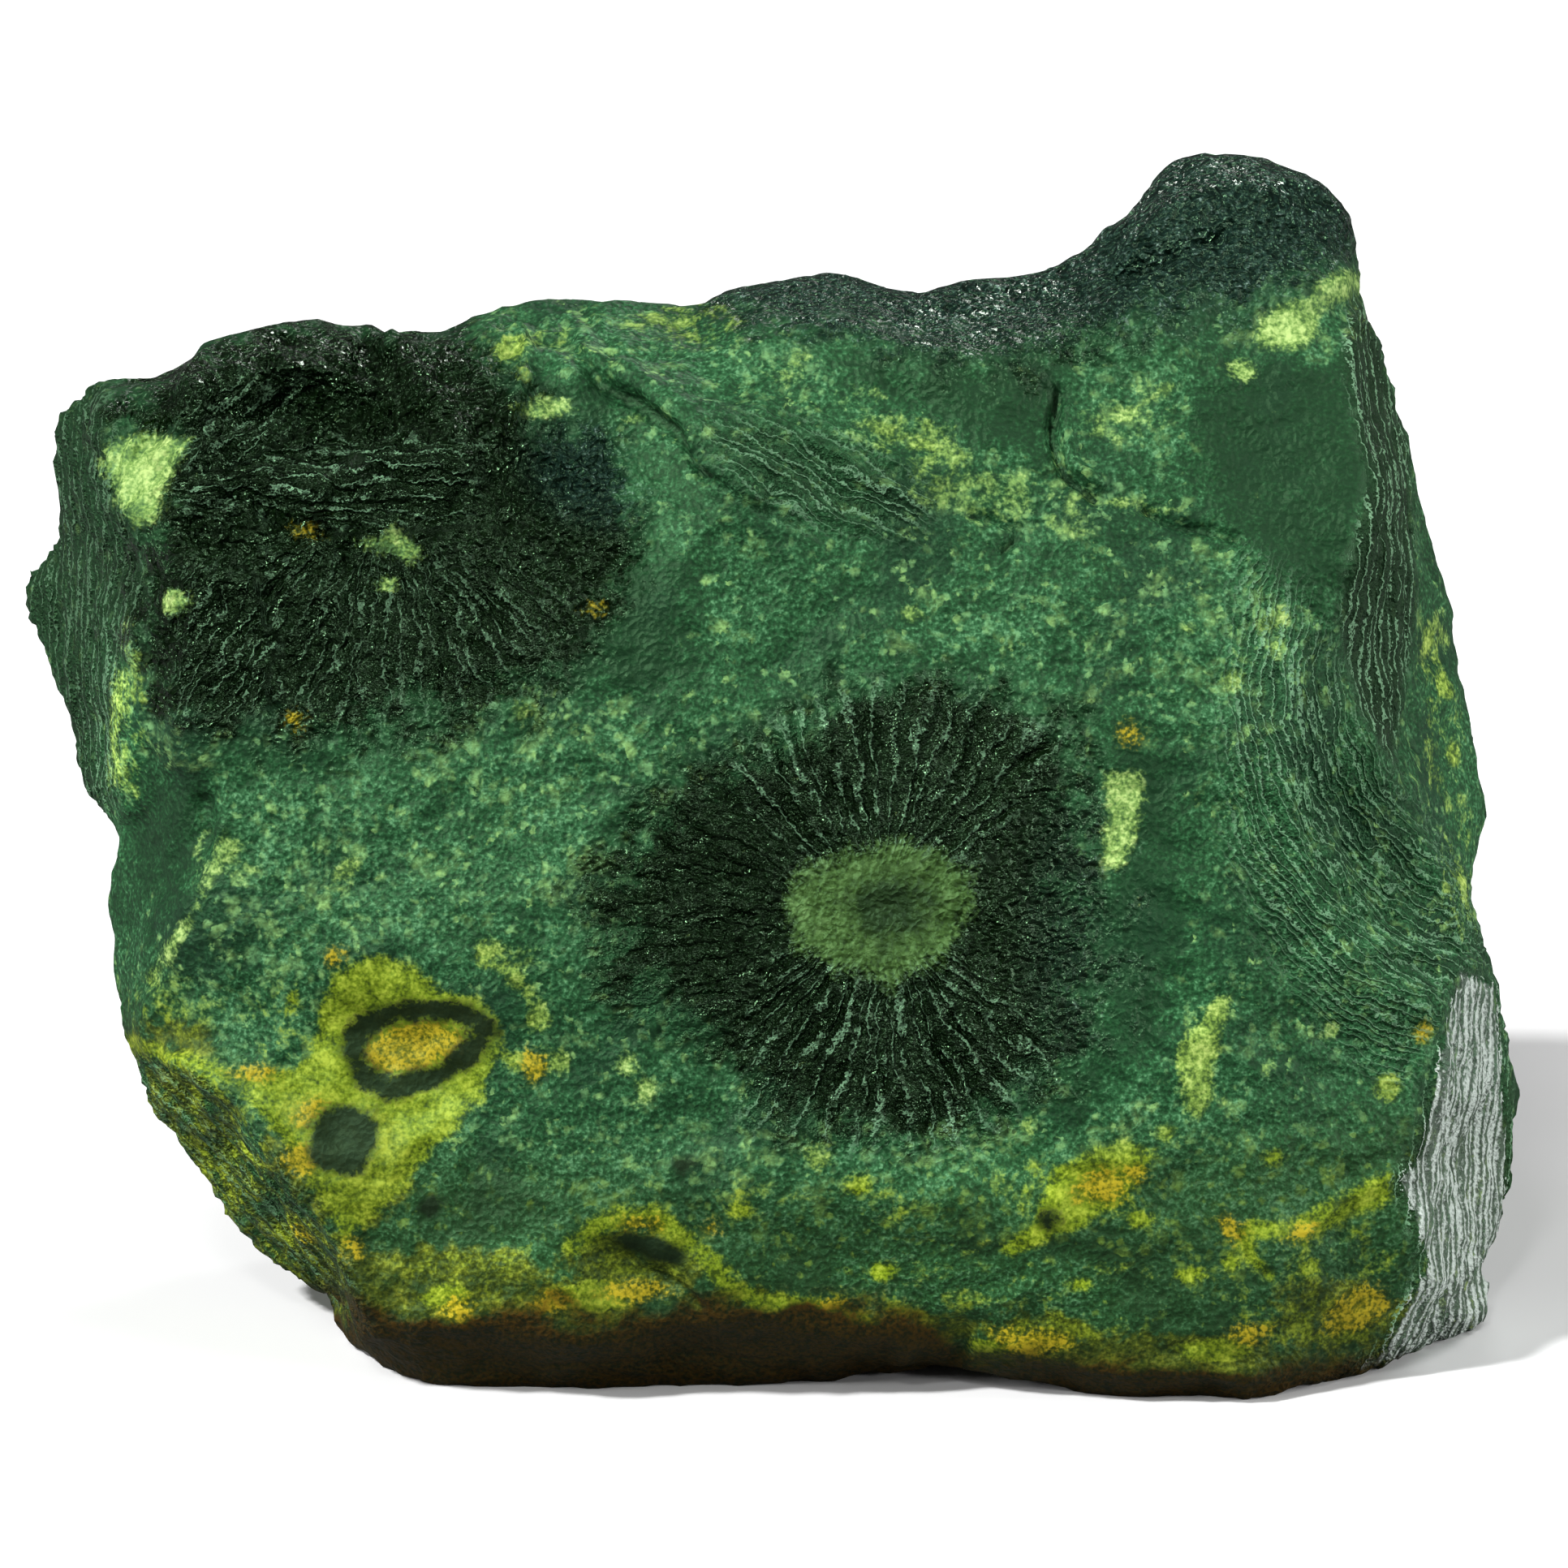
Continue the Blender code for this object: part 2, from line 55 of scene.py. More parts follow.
MM = 0.001
NODE = "kambaba_jasper_stone"
PIECE = "jasper_stone"
SLOT = "kambaba_jasper"

# Sizes shared with the solid, in millimetres
LEAN = math.radians(14)
TAPER = 1 / 240
MIDDLE_HEIGHT = 17.25
SET_ACROSS = 0.5
SET_BACK = -1.22
EDGE_STEP = 0.6
SKIN_STEP = 0.8
FRONT_SWELL = 0.022
BACK_SWELL = 0.016
RIDGE_WANDER = 0.35
RIDGE_WANDER_LENGTH = 2.6
WANDER_SHIFTS = (0, 37, 71)
SEWING_GAP = 0.002
GROWTH = -0.16

# The fine skin
VOXEL = 0.2
MOST_TRIANGLES = 190000
SMOOTHING_PASSES = 2

# The broken surface, in millimetres
DRIFT_SIZE = 3.2
DRIFT = 0.9
LINE_DRIFT = 0.25
FLATTER = (0.8, 1.2, 1)
PEAK_WEAR = 0.9
LIVELY_HEIGHT = 0.3
BACK_RIPPLE = 0.16

# The layers of the broken surface: (kind, lump size, drift, stretch, height, further height away from the
# rim, seed)
BREAKS = [
    ("plain", 4.2, 0.0, (1, 1, 1), 0.14, 0.0, 4),
    ("bowls", 4.4, DRIFT, (1, 1, 1), 0.25, 0.3, 11),
    ("ridges", 1.7, DRIFT, FLATTER, 0.07, 0.07, 5),
    ("ridges", 0.8, DRIFT, FLATTER, 0.05, 0.0, 6),
]

# The studio and the view
FLOOR_RADIUS = 3.0
FLOOR_SEEN = (0.92, 0.92, 0.92, 1)
FLOOR_BOUNCE = (0.2, 0.2, 0.2, 1)
WORLD_LIGHT = 0.07
LIGHT_LEVEL = 1.2
VIEW_WIDTH = 52.55
SENSOR_WIDTH = 36
CAMERA_LENS = SENSOR_WIDTH / TAPER / VIEW_WIDTH

# Far lights: (place, width in degrees, power)
SUNS = {
    "key": ((-0.34, -0.26, 0.48), 6, 3.4),
    "high_fill": ((0.25, 0.1, 0.6), 30, 0.6),
}

# Near square lights, the small ones for glints: (place, size, power)
PANELS = {
    "right_panel": ((0.40, -0.06, 0.12), 0.16, 0.85),
    "left_panel": ((-0.42, -0.05, 0.10), 0.16, 0.4),
    "upper_lamp": ((-0.08, -0.36, 0.36), 0.06, 0.35),
    "left_lamp": ((-0.40, -0.24, 0.16), 0.06, 0.35),
    "right_lamp": ((0.34, -0.30, 0.14), 0.06, 0.35),
    "back_lamp": ((0.1, 0.4, 0.3), 0.06, 0.35),
}

# Where the upper left of the face is broken into bold glossy ripples
LIVELY = [
    (-23.0, 14.5), (-8.0, 16.5), (-6.0, 14.5), (-9.0, 11.5), (-13.0, 8.0), (-17.0, 6.0), (-21.5, 6.5),
    (-23.0, 10.0),
]

# The widest outline, clockwise from the upper left corner
RIM = [
    (-24.2, 12.3, 1.0), (-23.4, 13.0, 2.4), (-22.9, 13.5, 3.0), (-21.0, 13.7, 3.4), (-19.0, 14.6, 3.0),
    (-17.0, 15.4, 2.4), (-16.0, 15.4, 2.4), (-15.0, 15.0, 3.0), (-13.4, 15.0, 3.2), (-12.6, 15.2, 3.2),
    (-11.8, 15.1, 3.2), (-9.6, 15.9, 3.0), (-8.3, 16.2, 3.0), (-6.4, 16.2, 3.4), (-5.0, 16.05, 3.6),
    (-2.8, 16.0, 4.2), (-1.9, 16.4, 4.2), (0.0, 16.8, 4.0), (1.7, 17.0, 4.0), (3.2, 16.7, 4.6),
    (4.4, 16.3, 5.0), (6.0, 16.65, 4.8), (8.5, 17.15, 4.5), (10.3, 18.2, 4.2), (12.1, 19.8, 3.6),
    (12.5, 20.4, 3.4), (13.4, 21.05, 3.0), (15.1, 21.0, 3.0), (17.5, 20.35, 3.4), (18.3, 19.8, 3.4),
    (18.9, 19.1, 3.2), (19.25, 18.0, 3.0), (19.45, 16.3, 2.4), (20.0, 14.2, 0.0), (20.8, 11.8, -1.2),
    (21.6, 8.8, -1.8), (22.1, 6.4, -2.0), (22.6, 3.8, -2.0), (23.2, 0.6, -1.6), (23.4, -1.0, -1.5),
    (23.2, -2.6, -0.8), (23.1, -4.0, 0.2), (23.5, -6.0, 0.8), (24.1, -8.1, -1.0), (24.5, -10.3, -2.0),
    (24.2, -12.7, -1.8), (23.6, -15.7, -1.0), (23.3, -16.1, 0.2), (23.5, -17.1, 0.8), (23.4, -18.0, 1.3),
    (21.3, -18.9, 4.0), (19.3, -19.7, 6.2), (18.0, -20.1, 7.2), (16.6, -20.5, 8.0), (15.5, -20.75, 8.7),
    (14.2, -20.5, 8.2), (12.0, -20.6, 8.3), (10.0, -20.4, 7.8), (8.5, -20.1, 7.8), (7.0, -19.8, 7.8),
    (6.0, -19.55, 7.6), (5.0, -19.5, 7.2), (3.6, -19.65, 6.9), (0.0, -20.0, 7.0), (-3.0, -20.15, 7.0),
    (-6.5, -20.25, 7.2), (-12.0, -20.15, 7.1), (-12.8, -19.85, 6.4), (-14.2, -18.9, 4.6),
    (-14.7, -18.0, 3.0), (-15.0, -17.1, 1.6), (-17.0, -16.0, 0.4), (-18.1, -15.0, 0.0), (-18.7, -14.0, 0.2),
    (-20.3, -11.8, 1.2), (-21.1, -10.8, 2.4), (-21.2, -9.9, 3.4), (-22.1, -8.2, 3.2), (-22.2, -7.0, 3.0),
    (-22.4, -6.2, 3.0), (-22.7, -4.3, 3.2), (-22.6, -3.2, 3.6), (-22.3, -1.9, 4.0), (-22.7, -0.8, 1.6),
    (-23.4, 0.3, -0.4), (-23.6, 1.5, -1.0), (-24.0, 2.9, -1.6), (-24.9, 5.0, -2.6), (-25.5, 6.2, -3.0),
    (-25.6, 6.8, -3.0), (-25.0, 7.2, -2.8), (-24.3, 8.2, -1.6), (-24.2, 9.8, -0.6), (-24.35, 10.6, -0.2),
]

# The edges and hollows of the faces that look forward
FRONT = {
    "left_edge": [
        (-23.0, 12.8, 5.4), (-22.8, 11.2, 6.8), (-22.1, 9.5, 7.6), (-21.3, 7.8, 8.2), (-21.0, 6.2, 8.6),
        (-21.7, 4.3, 8.2), (-22.2, 2.4, 7.2), (-22.3, 0.5, 6.2), (-22.2, -1.0, 5.4),
    ],
    "tooth": [(-25.2, 6.7, -2.3), (-24.6, 6.8, -1.0)],
    "left_shoulder": [
        (-20.6, 12.4, 7.4), (-20.0, 11.0, 8.7), (-20.3, 9.4, 9.3), (-20.2, 7.8, 9.6), (-20.0, 6.2, 9.9),
        (-20.0, 4.6, 10.0), (-20.1, 2.8, 9.8), (-19.9, 0.8, 9.5),
    ],
    "bowl_lip": [
        (-19.9, 12.9, 7.5), (-19.2, 13.6, 7.2), (-18.0, 14.0, 7.0), (-16.5, 14.05, 7.0), (-15.0, 13.8, 7.2),
        (-13.7, 13.2, 7.7), (-12.8, 12.4, 8.4), (-12.4, 11.4, 9.3),
    ],
    "bowl_floor": [
        (-19.0, 12.3, 7.3), (-17.6, 12.8, 6.7), (-15.9, 12.6, 6.6), (-14.4, 12.0, 7.1), (-13.8, 11.1, 8.2),
    ],
    "bowl_foot": [
        (-19.4, 10.6, 8.7), (-17.5, 10.1, 8.8), (-15.5, 10.0, 9.1), (-13.4, 10.1, 9.5), (-11.6, 10.2, 9.8),
    ],
    "second_ridge": [(-10.1, 14.8, 5.6), (-10.2, 13.6, 7.5), (-10.4, 12.2, 8.7), (-10.9, 10.9, 9.6)],
    "nose": [
        (-6.5, 15.4, 5.4), (-5.7, 14.2, 7.4), (-5.3, 13.5, 8.3), (-4.0, 13.0, 9.1), (-3.0, 12.1, 9.8),
        (-1.8, 11.0, 10.4), (-0.6, 9.8, 10.7),
    ],
    "under_nose": [(-7.4, 13.2, 7.7), (-5.6, 12.8, 8.1), (-4.2, 12.1, 8.7), (-2.8, 10.9, 9.5)],
    "top_right_edge": [
        (-1.5, 15.0, 7.0), (2.0, 15.3, 7.5), (4.5, 14.6, 8.0), (7.0, 14.1, 8.2), (9.0, 14.5, 8.0),
        (12.0, 14.8, 7.7), (14.0, 15.4, 7.2), (16.0, 15.9, 6.8), (17.5, 16.6, 6.2), (18.9, 17.0, 5.2),
    ],
    "peak_front": [
        (11.6, 17.9, 5.8), (13.0, 19.4, 5.2), (15.2, 19.9, 4.9), (17.2, 19.2, 4.9), (18.4, 17.8, 4.8),
    ],
    "right_edge": [
        (19.2, 15.6, 5.2), (18.9, 14.4, 6.6), (19.0, 13.2, 7.4), (19.3, 12.0, 7.9), (19.5, 11.2, 8.3),
        (20.0, 10.1, 8.6), (19.8, 9.2, 8.9), (19.3, 8.0, 9.1), (18.9, 6.6, 9.2), (18.4, 5.4, 9.3),
        (17.6, 4.6, 9.5),
    ],
    "right_band_back": [
        (19.2, 15.2, 3.4), (19.6, 13.9, 3.2), (20.2, 12.0, 2.8), (20.7, 10.0, 2.4), (20.9, 8.0, 2.0),
        (21.0, 6.4, 2.0), (20.8, 4.6, 2.4), (20.8, 3.2, 3.0), (20.6, 1.6, 4.2), (20.3, 0.3, 5.3),
    ],
    "scoop_upper_edge": [
        (17.6, 4.6, 9.5), (18.6, 3.2, 8.8), (19.3, 2.0, 7.8), (19.9, 0.9, 6.8), (20.3, -0.3, 6.0),
    ],
    "scoop_left_edge": [
        (17.6, 4.6, 9.5), (17.1, 3.0, 10.1), (16.9, 0.5, 10.5), (16.9, -1.8, 10.5), (17.4, -3.8, 10.3),
        (18.3, -5.1, 10.0), (19.4, -6.2, 9.7), (20.6, -7.0, 9.2), (21.6, -7.5, 8.5),
    ],
    "scoop_floor": [
        (18.6, 1.6, 8.3), (18.5, -0.5, 8.0), (18.9, -2.4, 7.6), (19.8, -3.9, 7.2), (21.0, -5.1, 6.8),
        (22.1, -5.9, 6.3),
    ],
    "scoop_right_edge": [
        (20.3, -0.3, 6.0), (21.0, -1.5, 5.8), (21.7, -2.7, 5.5), (22.4, -3.9, 5.0), (22.9, -5.0, 3.8),
    ],
    "lower_right_edge": [
        (22.8, -6.3, 5.2), (22.2, -7.2, 7.4), (22.0, -8.6, 8.0), (21.8, -10.0, 8.2), (21.4, -11.4, 8.4),
        (20.9, -12.5, 8.7), (20.5, -13.4, 8.9), (20.9, -14.6, 8.7), (21.3, -15.8, 8.2), (21.7, -17.0, 7.4),
        (21.0, -17.9, 7.3), (19.8, -18.7, 7.4), (18.5, -19.4, 7.6),
    ],
    "lower_right_back": [
        (23.6, -7.2, 1.8), (23.7, -9.0, 1.2), (23.5, -11.0, 1.0), (23.3, -13.0, 1.0), (23.1, -15.0, 1.4),
        (23.0, -16.4, 2.0), (22.8, -17.6, 3.0),
    ],
    "bottom_edge": [
        (-13.4, -18.4, 8.6), (-12.0, -18.2, 9.6), (-10.0, -18.25, 10.0), (-8.9, -17.95, 10.3),
        (-7.3, -18.3, 10.2), (-6.0, -18.5, 10.0), (-4.4, -18.2, 10.2), (-2.0, -18.0, 10.4),
        (0.5, -17.85, 10.3), (1.8, -18.3, 9.9), (4.0, -18.6, 9.3), (5.0, -19.0, 8.5),
    ],
    "right_lobe_edge": [
        (6.5, -18.9, 9.3), (9.0, -19.4, 9.5), (12.0, -19.8, 9.5), (15.0, -19.9, 9.6), (17.3, -19.6, 8.8),
    ],
    "lower_left_edge": [
        (-21.4, -9.1, 6.2), (-19.9, -9.5, 7.8), (-18.7, -9.9, 8.7), (-17.8, -11.0, 9.0),
        (-16.9, -12.3, 9.3), (-15.9, -13.5, 9.5), (-15.1, -14.6, 9.6), (-14.5, -15.8, 9.5),
        (-14.0, -17.0, 9.2), (-13.4, -18.4, 8.6),
    ],
    "lower_left_shelf": [
        (-20.6, -10.6, 4.4), (-19.2, -12.4, 3.6), (-17.9, -14.2, 3.2), (-16.4, -15.5, 3.4),
        (-14.9, -16.8, 4.4),
    ],
    "left_step": [
        (-19.0, -1.0, 9.4), (-19.0, -3.0, 9.5), (-19.7, -4.2, 9.1), (-20.6, -5.8, 8.2), (-21.2, -7.2, 7.2),
        (-21.7, -8.2, 6.2),
    ],
    "left_hollow": [(-20.8, -1.6, 7.4), (-20.9, -3.2, 6.8), (-21.4, -4.8, 6.0)],
    "eye_lip": [
        (-16.0, -6.2, 10.2), (-14.4, -5.6, 10.6), (-12.8, -5.8, 10.8), (-11.6, -6.6, 10.9),
        (-10.4, -7.5, 10.9), (-9.9, -8.6, 10.8),
    ],
    "eye_floor": [(-14.6, -7.6, 9.9), (-12.6, -8.8, 10.0), (-11.6, -10.4, 10.1), (-13.4, -12.4, 10.0)],
    "chip_lip": [
        (-7.2, -16.4, 10.8), (-6.9, -15.3, 10.9), (-5.6, -14.7, 11.0), (-4.2, -14.8, 11.0),
        (-3.2, -15.6, 10.9), (-2.4, -16.7, 10.7), (-1.6, -17.3, 10.6),
    ],
    "chip_floor": [(-6.0, -16.1, 10.5), (-4.6, -16.5, 10.4), (-3.6, -17.1, 10.3)],
    "broad_crest": [
        (-9.0, 2.5, 10.8), (-4.0, -1.0, 11.1), (0.0, -4.0, 11.3), (4.0, -5.0, 11.4), (9.0, -4.0, 11.2),
    ],
    "lower_crest": [
        (-8.0, -11.0, 11.0), (-2.0, -12.5, 11.3), (6.0, -14.0, 11.3), (12.0, -15.0, 10.9),
        (17.0, -15.5, 10.0),
    ],
}

# The edges and hollows of the faces that look back and down
BACK = {
    "top_back_edge": [
        (-22.6, 11.8, -1.8), (-21.2, 12.9, -0.6), (-19.0, 13.7, -1.2), (-16.6, 14.6, -1.6),
        (-14.2, 14.0, -0.6), (-11.6, 14.3, -1.4), (-8.6, 15.3, -0.8), (-5.6, 15.0, -0.4),
        (-2.6, 15.2, -1.2), (1.0, 16.0, -1.6), (4.2, 15.3, -0.8), (8.2, 16.1, -1.4), (10.6, 17.5, -1.4),
        (12.4, 19.3, -1.6), (13.8, 20.3, -1.8), (15.4, 20.3, -2.2), (17.3, 19.6, -1.8), (18.4, 18.4, -1.4),
    ],
    "upper_ridge": [
        (-21.2, 9.2, -8.0), (-17.4, 11.0, -8.8), (-13.6, 10.4, -11.0), (-9.8, 12.0, -11.6),
        (-6.0, 12.4, -12.6), (-2.2, 11.0, -14.2), (2.2, 11.6, -13.4), (6.4, 11.0, -13.8),
        (9.6, 12.8, -11.8), (13.0, 13.4, -10.0), (15.4, 15.2, -7.8), (17.6, 14.4, -6.2),
    ],
    "upper_rib": [(-2.6, 15.2, -1.2), (-3.4, 14.6, -5.0), (-4.8, 13.9, -9.0), (-6.0, 12.4, -12.6)],
    "peak_rib": [(12.4, 19.3, -1.6), (11.6, 17.2, -5.0), (10.8, 14.8, -8.8), (9.6, 12.8, -11.8)],
    "upper_hollow": [(2.0, 14.3, -5.0), (3.6, 13.2, -8.0), (4.2, 12.2, -10.6)],
    "left_ridge": [
        (-21.2, 9.2, -8.0), (-21.9, 6.4, -8.6), (-21.8, 3.4, -9.4), (-20.4, 0.2, -11.2),
        (-19.6, -3.4, -11.4), (-18.9, -6.8, -10.4), (-17.0, -9.4, -10.2), (-15.4, -12.4, -8.8),
    ],
    "right_ridge": [
        (17.6, 14.4, -6.2), (18.0, 11.0, -8.6), (19.4, 6.6, -9.8), (19.2, 3.2, -11.8), (20.4, -1.4, -11.2),
        (21.0, -5.6, -10.6), (20.0, -9.2, -11.0), (20.2, -12.4, -8.8),
    ],
    "spine": [
        (-6.0, 12.4, -12.6), (-5.6, 9.0, -14.4), (-3.2, 5.6, -15.4), (-2.0, 1.6, -16.6), (1.2, -2.0, -17.0),
        (3.2, -6.0, -16.4), (6.6, -8.8, -15.6), (7.4, -12.0, -13.6),
    ],
    "cross_ridge": [
        (-3.2, 5.6, -15.4), (-7.0, 3.6, -15.2), (-10.4, 1.4, -15.4), (-13.6, 0.4, -14.0),
        (-17.2, -1.6, -12.8), (-19.6, -3.4, -11.4),
    ],
    "low_ridge": [(6.6, -8.8, -15.6), (11.0, -7.4, -14.4), (15.6, -7.0, -13.2), (21.0, -5.6, -10.6)],
    "left_scoop": [(-14.4, 6.6, -10.8), (-11.6, 6.2, -12.0), (-9.4, 7.4, -11.8)],
    "low_left_scoop": [(-12.6, -5.6, -12.2), (-7.6, -4.4, -13.8), (-2.6, -7.0, -14.0)],
    "right_scoop": [(7.0, 5.6, -13.2), (11.6, 4.0, -12.6), (15.2, 0.6, -12.0)],
    "left_flank_hollow": [(-23.0, 4.0, -4.6), (-21.9, -1.0, -4.4), (-21.2, -5.4, -4.2)],
    "right_flank_rib": [(20.4, 9.4, -5.2), (22.0, 2.0, -6.2), (22.6, -4.4, -5.4), (22.4, -11.6, -5.6)],
    "base_edge": [
        (-13.6, -18.1, 0.0), (-14.2, -16.7, -4.0), (-12.6, -15.8, -8.0), (-9.0, -14.8, -12.0),
        (-2.0, -14.6, -12.4), (5.0, -14.6, -12.4), (11.0, -15.0, -11.4), (16.0, -15.5, -9.8),
        (19.4, -16.3, -6.4), (21.2, -17.3, -3.0), (22.0, -18.1, 0.0),
    ],
}


def sampled(points, closed=False):
    """The points of a smooth curve through the given ones, about EDGE_STEP apart."""
    p = np.array(points, float)
    if closed:
        padded = np.vstack([p[-1:], p, p[:2]])
    else:
        padded = np.vstack([p[:1], p, p[-1:], p[-1:]])
    found = []
    for a, b, c, d in zip(padded[:-3], padded[1:-2], padded[2:-1], padded[3:], strict=True):
        count = 0 if np.allclose(b, c) else max(1, round(float(np.linalg.norm((c - b)[:2])) / EDGE_STEP))
        for i in range(count):
            t = i / count
            bend = 2 * a - 5 * b + 4 * c - d
            twist = 3 * b - a - 3 * c + d
            found.append(0.5 * (2 * b + (c - a) * t + bend * t**2 + twist * t**3))
    if not closed:
        found.append(p[-1])
    return np.array(found)


def wandering(points, seed):
    """The same curve, pushed about a little as a broken edge is. Its ends stay where they are."""
    moved = points.copy()
    for i, point in enumerate(points[1:-1], start=1):
        where = Vector(point) / RIDGE_WANDER_LENGTH + Vector((seed, 2 * seed, -seed))
        push = [noise.noise(where + Vector((0, 0, apart))) for apart in WANDER_SHIFTS]
        moved[i] = point + RIDGE_WANDER * np.array(push)
    return moved


def inside(points, outline):
    """Which of the points lie inside the closed outline."""
    x, y = points[:, 0, None], points[:, 1, None]
    ax, ay = outline[:, 0], outline[:, 1]
    bx, by = np.roll(ax, -1), np.roll(ay, -1)
    rise = np.where(by == ay, 1, by - ay)
    crosses = ((ay > y) != (by > y)) & (x < (bx - ax) * (y - ay) / rise + ax)
    return crosses.sum(axis=1) % 2 == 1


def open_ground(rim, held):
    """A triangular grid of (across, up) points inside the rim, clear of the held points."""
    low, high = rim.min(axis=0), rim.max(axis=0)
    row_step = SKIN_STEP * math.sqrt(3) / 2
    grid = []
    for row, up in enumerate(np.arange(low[1], high[1], row_step)):
        start = low[0] + SKIN_STEP / 2 * (row % 2)
        grid += [(across, up) for across in np.arange(start, high[0], SKIN_STEP)]
    grid = np.array(grid)
    grid = grid[inside(grid, rim)]
    clearance = 0.6 * SKIN_STEP
    return grid[[np.hypot(*(held[:, :2] - p).T).min() > clearance for p in grid]]


def skin(rim, edges, swell):
    """A skin stretched over the edges inside the rim: its (across, up, forward) points and its triangles.

    The rim and the edges are held. Every other point sits at the mean of its neighbours, so the skin hangs
    straight between edges and creases along them, and swell domes it outwards."""
    lines = [wandering(sampled(points), i) for i, points in enumerate(edges.values())]
    held = np.vstack([rim, *lines])
    flat = [Vector(p[:2]) for p in held] + [Vector(p) for p in open_ground(rim, held)]
    links = []
    start = len(rim)
    for line in lines:
        links += [(start + i, start + i + 1) for i in range(len(line) - 1)]
        start += len(line)
    outline = [list(range(len(rim)))]
    points, _, triangles, sources, _, _ = delaunay_2d_cdt(flat, links, outline, 1, 1e-4)

    count = len(points)
    forward = np.zeros(count)
    is_held = np.zeros(count, bool)
    for i, source in enumerate(sources):
        held_source = [s for s in source if s < len(held)]
        if held_source:
            forward[i] = held[held_source[0], 2]
            is_held[i] = True
    joined = np.zeros((count, count))
    for a, b, c in triangles:
        joined[[a, b, b, c, c, a], [b, a, c, b, a, c]] = 1
    free = np.flatnonzero(~is_held)
    neighbours = joined[free].sum(axis=1)
    known = joined[free] @ (forward * is_held) + swell * SKIN_STEP**2 * neighbours / 4
    forward[free] = np.linalg.solve(np.diag(neighbours) - joined[np.ix_(free, free)], known)
    return np.column_stack([np.array(points), forward]), triangles


def placed(point):
    """The place of an (across, up, forward) point, in metres, with the table at z = 0."""
    across, up, forward = point
    scale = 1 - forward * TAPER
    return MM * Vector((
        SET_ACROSS + across * scale,
        SET_BACK + up * scale * math.sin(LEAN) - forward * math.cos(LEAN),
        MIDDLE_HEIGHT + up * scale * math.cos(LEAN) + forward * math.sin(LEAN),
    ))


